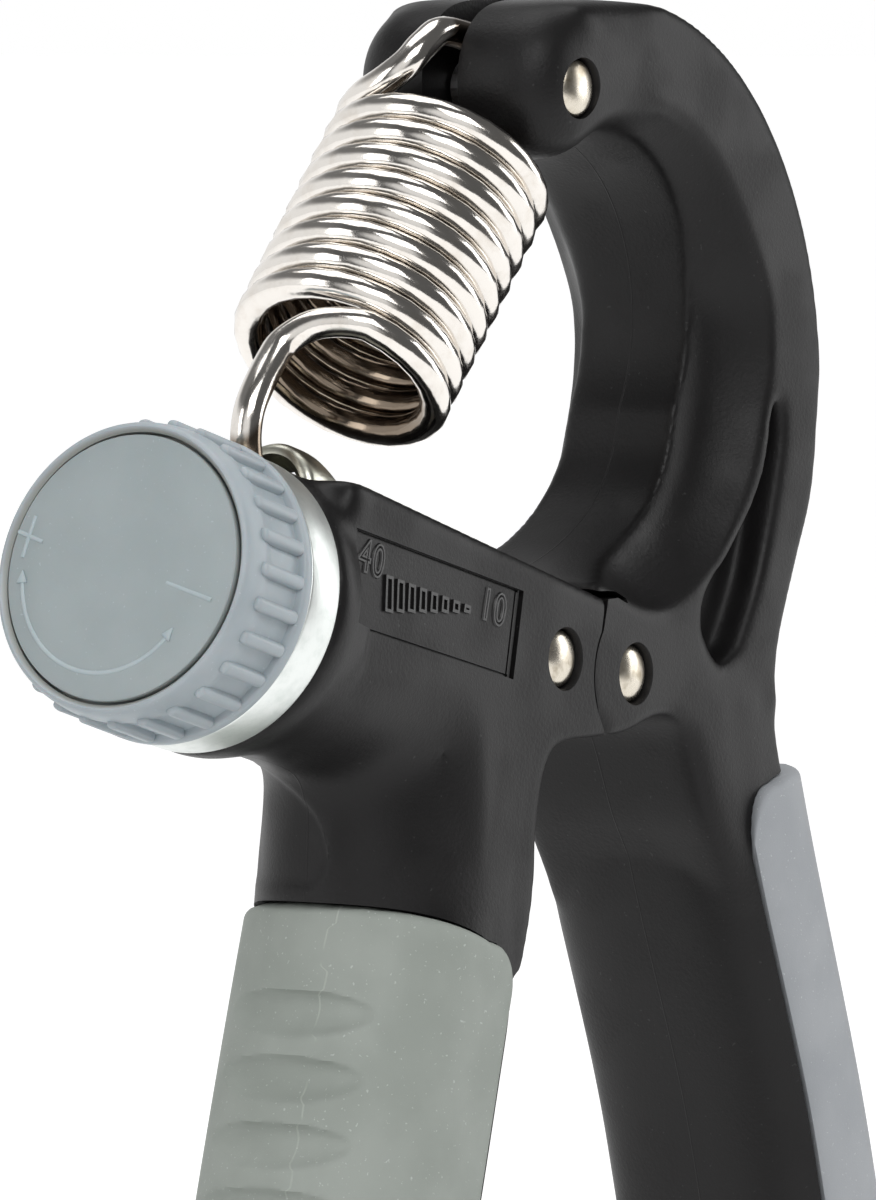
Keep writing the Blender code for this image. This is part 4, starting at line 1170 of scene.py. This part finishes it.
# %% The knob
rib_count, rib_top, rib_wide, rib_deep, rib_long = 27, 13.72, 1.22, 1.6, 6.3
knob_profile = [(4.5, 5.0), (5.5, 5.0), (5.5, 1.9), (12.08, 1.9), (12.08, 0.62), (12.22, 0.5),
                (12.34, 0.26), (12.5, 0.14), (12.7, 0.2), (12.88, 0.42), (13.0, 0.8), (13.08, 1.3),
                (13.14, 1.9), (13.2, 2.5), (13.16, 3.0), (13.02, 3.5), (12.92, 4.2), (12.9, 6.0),
                (12.9, 7.9), (13.0, 8.2), (13.45, 8.32), (13.66, 8.45), (13.74, 8.7), (13.74, 9.2),
                (13.62, 9.48), (13.3, 9.6), (10.9, 9.6), (10.9, 7.0), (7.0, 7.0), (7.0, 9.6),
                (4.5, 9.6), (4.5, 5.0)]
knob = turned("knob_shell", knob_profile, 216, Matrix.Identity(4))
ops.select_all(action="DESELECT")
mesh_ops.primitive_cube_add(size=1, location=((rib_top - rib_deep / 2) * mm, 0, 5.35 * mm),
                            scale=(rib_deep * mm, rib_wide * mm, rib_long * mm))
rib = named("rib")
settle(rib, rib.matrix_world.copy())
rounded(rib, 0.46, 4)
ribs = [settle(twin(rib, f"rib_{i}"), Matrix.Rotation(2 * pi * i / rib_count, 4, "Z"))
        for i in range(rib_count)]
bpy.data.objects.remove(rib)
cut(knob, join_all(*ribs), "UNION")
settle(knob, turn_to(on_barrel(), along))
soft_shade(knob, 42)
finished(knob, knob_side, "knob", "knob_plastic", "knob")

# %% [markdown]
# The front disc is let into the knob with a fine groove round it. It carries a plus, a minus and a
# double-headed arc, raised by a tenth of a millimetre, which tell which way to turn.

# %% The knob's disc
disc_profile = [(0, 1.5), (11.6, 1.5), (11.75, 1.3), (11.82, 0.5), (11.76, 0.3), (11.6, 0.22),
                (8, 0.16), (4, 0.12), (0, 0.12)]
disc = turned("knob_face", disc_profile, 96, turn_to(on_barrel(), along))
soft_shade(disc, 40)
finished(disc, knob_front, "knob", "knob_plastic", "knob_disc")

# %% Drawing on the disc
disc_front = 0.17                      # how deep the disc's front lies in the knob


def on_disc(y, height, lift):
    """A place on the knob's face: y across, height above the axis, and lift towards the viewer."""
    return on_barrel(disc_front - lift, height) + Vector((0, y, 0)) * mm


def strip(name, points, half_wide=0.2, lift=0.14):
    """A raised line of the disc: a grid laid along points given as (y, height)."""
    count = len(points) - 1

    def rule(s, t):
        k = min(int(t * count + 0.0001), count - 1)
        local = t * count - k
        (y0, h0), (y1, h1) = points[k], points[k + 1]
        back, ahead = points[max(k - 1, 0)], points[min(k + 2, count)]
        run = Vector((ahead[0] - back[0], ahead[1] - back[1])).normalized()
        y, h = y0 + (y1 - y0) * local, h0 + (h1 - h0) * local
        angle = pi * s
        side = cos(angle) * half_wide
        return on_disc(y - run.y * side, h + run.x * side, lift * sin(angle) - 0.06)
    return skin(name, 8, count, rule, capped=False)


def arrow_head(name, tip, direction, size=0.9):
    """A flat arrow head: a triangle that is extruded and bevelled."""
    run = direction.normalized()
    across = Vector((-run.y, run.x)) * size * 0.62
    base = tip - run * size * 1.3
    made = flat_face(name, [on_disc(*corner, -0.05) for corner in (tip, base + across, base - across)])
    return rounded(extruded(made, -along * 0.19 * mm), 0.06, 1)


# %% Marks on the disc
arc_middle, arc_radius = (1.2, -0.35), 9.0


def on_arc(angle):
    """The place on the turning arc at an angle in degrees."""
    return Vector(arc(arc_middle, arc_radius, angle, angle, 1)[0])


raised = [strip("turn_arc", arc(arc_middle, arc_radius, -7, -142, 48)),
          strip("plus_tall", [(9.75, 4.3), (10.15, 2.45), (10.5, 0.6)]),
          strip("plus_wide", [(8.6, 2.0), (10.0, 2.45), (11.3, 2.87)]),
          strip("minus", [(-5.0, -1.2), (-7.4, -1.9), (-9.9, -2.6)])]
for label, tip, arc_end in (("first", -1, -7), ("last", -148, -142)):
    raised.append(arrow_head("arrow_" + label, on_arc(tip), on_arc(tip) - on_arc(arc_end)))
disc_marks = renamed(join_all(*raised), "knob_marks")
soft_shade(disc_marks, 50)
finished(disc_marks, knob_mark, "knob", "knob_plastic")

# %% [markdown]
# ## The ring and the nut
# A bright zinc ring sits between the knob and the nose. Behind it the travelling nut stands up out of
# the trough: a round eye with a countersunk hole, whose back slopes down like a wedge.

# %% The zinc ring
ring_profile = [(3.3, 9.9), (13.2, 9.9), (13.34, 9.97), (13.4, 10.12), (13.4, 14.1), (13.34, 14.3),
                (13.2, 14.4), (3.3, 14.4), (3.3, 9.9)]
ring = turned("zinc_ring", ring_profile, 128, turn_to(on_barrel(), along))
soft_shade(ring, 50)
finished(ring, ring_zinc, "lever", "zinc", "collar_ring")

# %% The travelling nut
nut_half_wide, nut_top, post_height, post_radius = 5.0, 7.6, 11.3, 4.6
nut = barrel_box("nut_body", (nut_front, -nut_half_wide, -nut_half_wide),
                 (nut_front + nut_long, nut_half_wide, nut_top))
rounded(nut, 0.4, 2)
eye_profile = [(0, nut_front), (4.0, nut_front), (4.4, nut_front + 0.25),
               (post_radius, nut_front + 0.7), (post_radius, nut_front + 3.0),
               (4.1, nut_front + 8.0), (0, nut_front + nut_long)]
eye_place = turn_to(on_barrel(0, post_height), along)
cut(nut, turned("eye_post", eye_profile, 56, eye_place), "UNION")
slope = [barrel_mm(nut_front + 2.0, 17.2), barrel_mm(nut_front + 2.0, 15.9),
         barrel_mm(nut_front + 9.0, 10.2), barrel_mm(nut_front + 9.0, 17.2)]
cut(nut, plate("nut_slope", slope, -7, 7))
hole_profile = [(0, nut_front - 0.4), (3.8, nut_front - 0.4), (3.5, nut_front + 0.05),
                (2.9, nut_front + 0.8), (2.8, nut_front + 6.2), (0, nut_front + 6.2)]
cut(nut, turned("eye_hole", hole_profile, 56, eye_place))
cut(nut, barrel_bore("nut_bore", nut_front - 1, nut_front + 9, 3.3))
soft_shade(nut, 40)
finished(nut, nut_zinc, "nut", "zinc", "travelling_nut")

# %% [markdown]
# ## The spring
# The spring is one wire: a hook round the anchor pin, close turns, and a wide loop that swings down
# into the nut's eye. A tube is skinned along that path. The frame that carries the tube's section is
# turned as little as possible from point to point, so that the wire doesn't twist.

# %% The wire's path
def spring_path():
    """Points of the wire's middle line, in millimetres from the seam."""
    anchor_at = Vector((anchor[0], 0, anchor[1]))
    seat_at = Vector((hook_seat[0], 0, hook_seat[1]))
    length = (seat_at - anchor_at).length
    down = (seat_at - anchor_at).normalized()
    aside = Vector((-down.z, 0, down.x))

    def put(reach, side, across=0.0):
        return anchor_at + down * reach + aside * side + Vector((0, across, 0))

    # The upper hook, round the anchor pin
    bend = 4.15
    hook = [put(-bend * cos(radians(a)), bend * sin(radians(a)))
            for a in (105, 80, 50, 20, -10, -38)]

    # The coil
    coil_radius, coil_shift, pitch, full_turns, turn_steps = 9.2, -0.45, 2.95, 8, 28
    upper, lower = radians(145), radians(-135)
    span = full_turns + (upper - lower) / (2 * pi)
    start = 8.4
    end = start + pitch * span
    count = int(turn_steps * span)
    coil = []
    for i in range(count + 1):
        angle = upper - 2 * pi * span * i / count
        coil.append(put(start + (end - start) * i / count, coil_radius * cos(angle) + coil_shift,
                        coil_radius * sin(angle)))

    # The loop in the nut's eye
    eye_radius, eye_lean = 6.2, radians(27)
    eye_reach = length - eye_radius * cos(eye_lean)
    eye_side = -eye_radius * sin(eye_lean)
    eye = [put(eye_reach + eye_radius * sin(radians(a)), eye_side - eye_radius * cos(radians(a)))
           for a in (0, 22, 45, 68, 90, 112, 134)]

    # What leads from hook to coil, and from coil to loop
    leg = eye_side - eye_radius
    rise = [put(0.4, -8.0), put(3.2, -9.4, 0.2), put(5.6, -9.6, 0.8), put(7.4, -9.2, 2.6)]
    fall = [put(end + 1.3, -8.7, -2.9), put(end + 3.6, leg, -0.5), put(end + 6.0, leg)]
    lead = (hook[0] - hook[1]).normalized() * 2.5
    tail = (eye[-1] - eye[-2]).normalized() * 2.5
    every, steps = turn_steps // 10, 6
    top_keys = [hook[0] + lead, *hook, *rise] + coil[0:every * 2:every]
    low_keys = coil[-every - 1::every] + fall + eye
    top = [Vector(p) for p in flowing([tuple(p) for p in top_keys], steps)][:-steps]
    low = [Vector(p) for p in flowing([tuple(p) for p in low_keys], steps)][steps:]
    return top[:-1] + coil + low[1:] + [eye[-1] + tail], put(start, 0), put(end, 0)


wire_path, coil_top, coil_low = spring_path()
print("wire path:", len(wire_path), "points")

# %% The wire
def wire_skin(path, radius, around=18):
    """A tube along a path, with rounded ends."""
    runs = [(path[min(i + 1, len(path) - 1)] - path[max(i - 1, 0)]).normalized()
            for i in range(len(path))]
    side = runs[0].orthogonal().normalized()
    frames = []
    for run in runs:
        side = (side - run * side.dot(run)).normalized()
        frames.append((side, run.cross(side)))
    last = len(path) - 1

    def rule(s, t):
        i = int(round(t * last))
        first, second = frames[i]
        reach = radius * (0.75 if i in (0, last) else 1)
        point = path[i] + (first * cos(2 * pi * s) + second * sin(2 * pi * s)) * reach
        return at(*point)
    return skin("spring_wire", around, last, rule)


wire_radius = 1.4
spring = wire_skin(wire_path, wire_radius)
soft_shade(spring, 60)
spring.data.materials.append(nickel)
at(*coil_top)
at(*coil_low)
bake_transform(spring)
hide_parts("spring")
print("spring has", len(spring.data.polygons), "faces")

# %% [markdown]
# ## Floor, light and surroundings
# The object stands on a white floor in a white room. The floor turns plain white for the camera and
# in reflections, and keeps some of the real shadow. Wide soft lamps shape the black nylon: it shows
# little colour of its own, so what is seen of it is mostly the lamps' reflections. The floor ends
# 0.6 m in front of the gripper, short of the camera, and reaches far behind it. Light of its own
# gives it nine tenths of plain white, and what falls on it gives the rest.

# %% The floor
ops.select_all(action="DESELECT")
mesh_ops.primitive_plane_add(size=40, location=(19.4, 19.4, -0.0004))
floor = named("floor")
settle(floor, floor.matrix_world.copy())


def floor_white():
    """Diffuse white that keeps a shadow, mixed with white light where a ray comes to look."""
    look = Look("floor_white", Base_Color=(0.86, 0.86, 0.86, 1), Roughness=0.7)
    path = look.node("ShaderNodeLightPath", {}, {}, "Is Camera Ray")
    glossy = look.node("ShaderNodeLightPath", {}, {}, "Is Glossy Ray")
    through = look.node("ShaderNodeLightPath", {}, {}, "Is Transmission Ray")
    share = (path + glossy + through).eased(0.0, 1.0) * 0.6
    white = look.node("ShaderNodeEmission", {}, {"Color": (1.0, 1.0, 1.0), "Strength": 1.5})
    plain = Amount(look, look.shader.outputs[0])
    mixed = look.node("ShaderNodeMixShader", {}, {0: share, 1: plain, 2: white})
    surface = look.tree.nodes["Material Output"].inputs["Surface"]
    look.tree.links.new(mixed.socket, surface)
    return look.material


floor.data.materials.append(floor_white())

# %% The white room
world = bpy.data.worlds.new("white_room")
bpy.context.scene.world = world
world.use_nodes = True
nodes, links = world.node_tree.nodes, world.node_tree.links
ray = nodes.new("ShaderNodeLightPath")
way = nodes.new("ShaderNodeTexCoord")


def facing(direction, start, end, low, high):
    """A strength that goes from low to high as the ray turns towards a direction."""
    turned_to = nodes.new("ShaderNodeVectorMath")
    turned_to.operation = "DOT_PRODUCT"
    links.new(way.outputs["Generated"], turned_to.inputs[0])
    turned_to.inputs[1].default_value = direction
    ramp = nodes.new("ShaderNodeMapRange")
    ramp.interpolation_type = "SMOOTHSTEP"
    for socket, value in (("From Min", start), ("From Max", end), ("To Min", low), ("To Max", high)):
        ramp.inputs[socket].default_value = value
    links.new(turned_to.outputs["Value"], ramp.inputs["Value"])
    return ramp.outputs[0]


def fill(socket, value):
    """Links a strength to a socket, or sets it."""
    if isinstance(value, bpy.types.NodeSocket):
        links.new(value, socket)
    else:
        socket.default_value = value


def combined(operation, first, second):
    """The sum or the product of two strengths."""
    made = nodes.new("ShaderNodeMath")
    made.operation = operation
    fill(made.inputs[0], first)
    fill(made.inputs[1], second)
    return made.outputs[0]


backdrop = combined("MULTIPLY", facing((0, 1, 0), 0.1, 0.5, 0.0, 0.85),
                    facing((0, 0, 1), 0.3, 0.65, 1.0, 0.1))
beside_camera = facing((-0.82, -0.53, 0.2), 0.84, 0.97, 0.0, 0.75)
mirrored = combined("ADD", combined("ADD", backdrop, beside_camera), 0.1)


def choose(first, second, question):
    """One strength, or another where the ray is of that kind."""
    chosen = nodes.new("ShaderNodeMix")
    links.new(ray.outputs[question], chosen.inputs["Factor"])
    fill(chosen.inputs[2], first)
    fill(chosen.inputs[3], second)
    return chosen.outputs[0]


room = choose(0.36, mirrored, "Is Glossy Ray")
room = choose(room, 1.0, "Is Transmission Ray")
room = choose(room, 1.0, "Is Camera Ray")
links.new(room, nodes["Background"].inputs["Strength"])
nodes["Background"].inputs["Color"].default_value = (1, 1, 1, 1)
print("the room has", len(nodes), "nodes")

# %% The lamps
def lamp(name, place, width, height, power):
    """A rectangular lamp that faces the gripper."""
    ops.select_all(action="DESELECT")
    ops.light_add(type="AREA", location=place)
    made = named(name)
    made.data.shape = "RECTANGLE"
    made.data.size, made.data.size_y = width, height
    made.data.energy = power
    towards = Vector((0, 0, 0.1)) - Vector(place)
    made.rotation_euler = towards.to_track_quat("-Z", "Y").to_euler()


lamp("key_lamp", (-0.55, -0.75, 0.85), 0.75, 0.6, 6.2)
lamp("left_lamp", (-0.95, 0.25, 0.35), 0.35, 0.7, 1.9)
lamp("right_lamp", (0.80, -0.54, 0.32), 0.45, 0.6, 2.4)
lamp("top_lamp", (0.1, 0.15, 1.0), 0.7, 0.7, 3.2)
bpy.context.scene.view_settings.view_transform = "Standard"
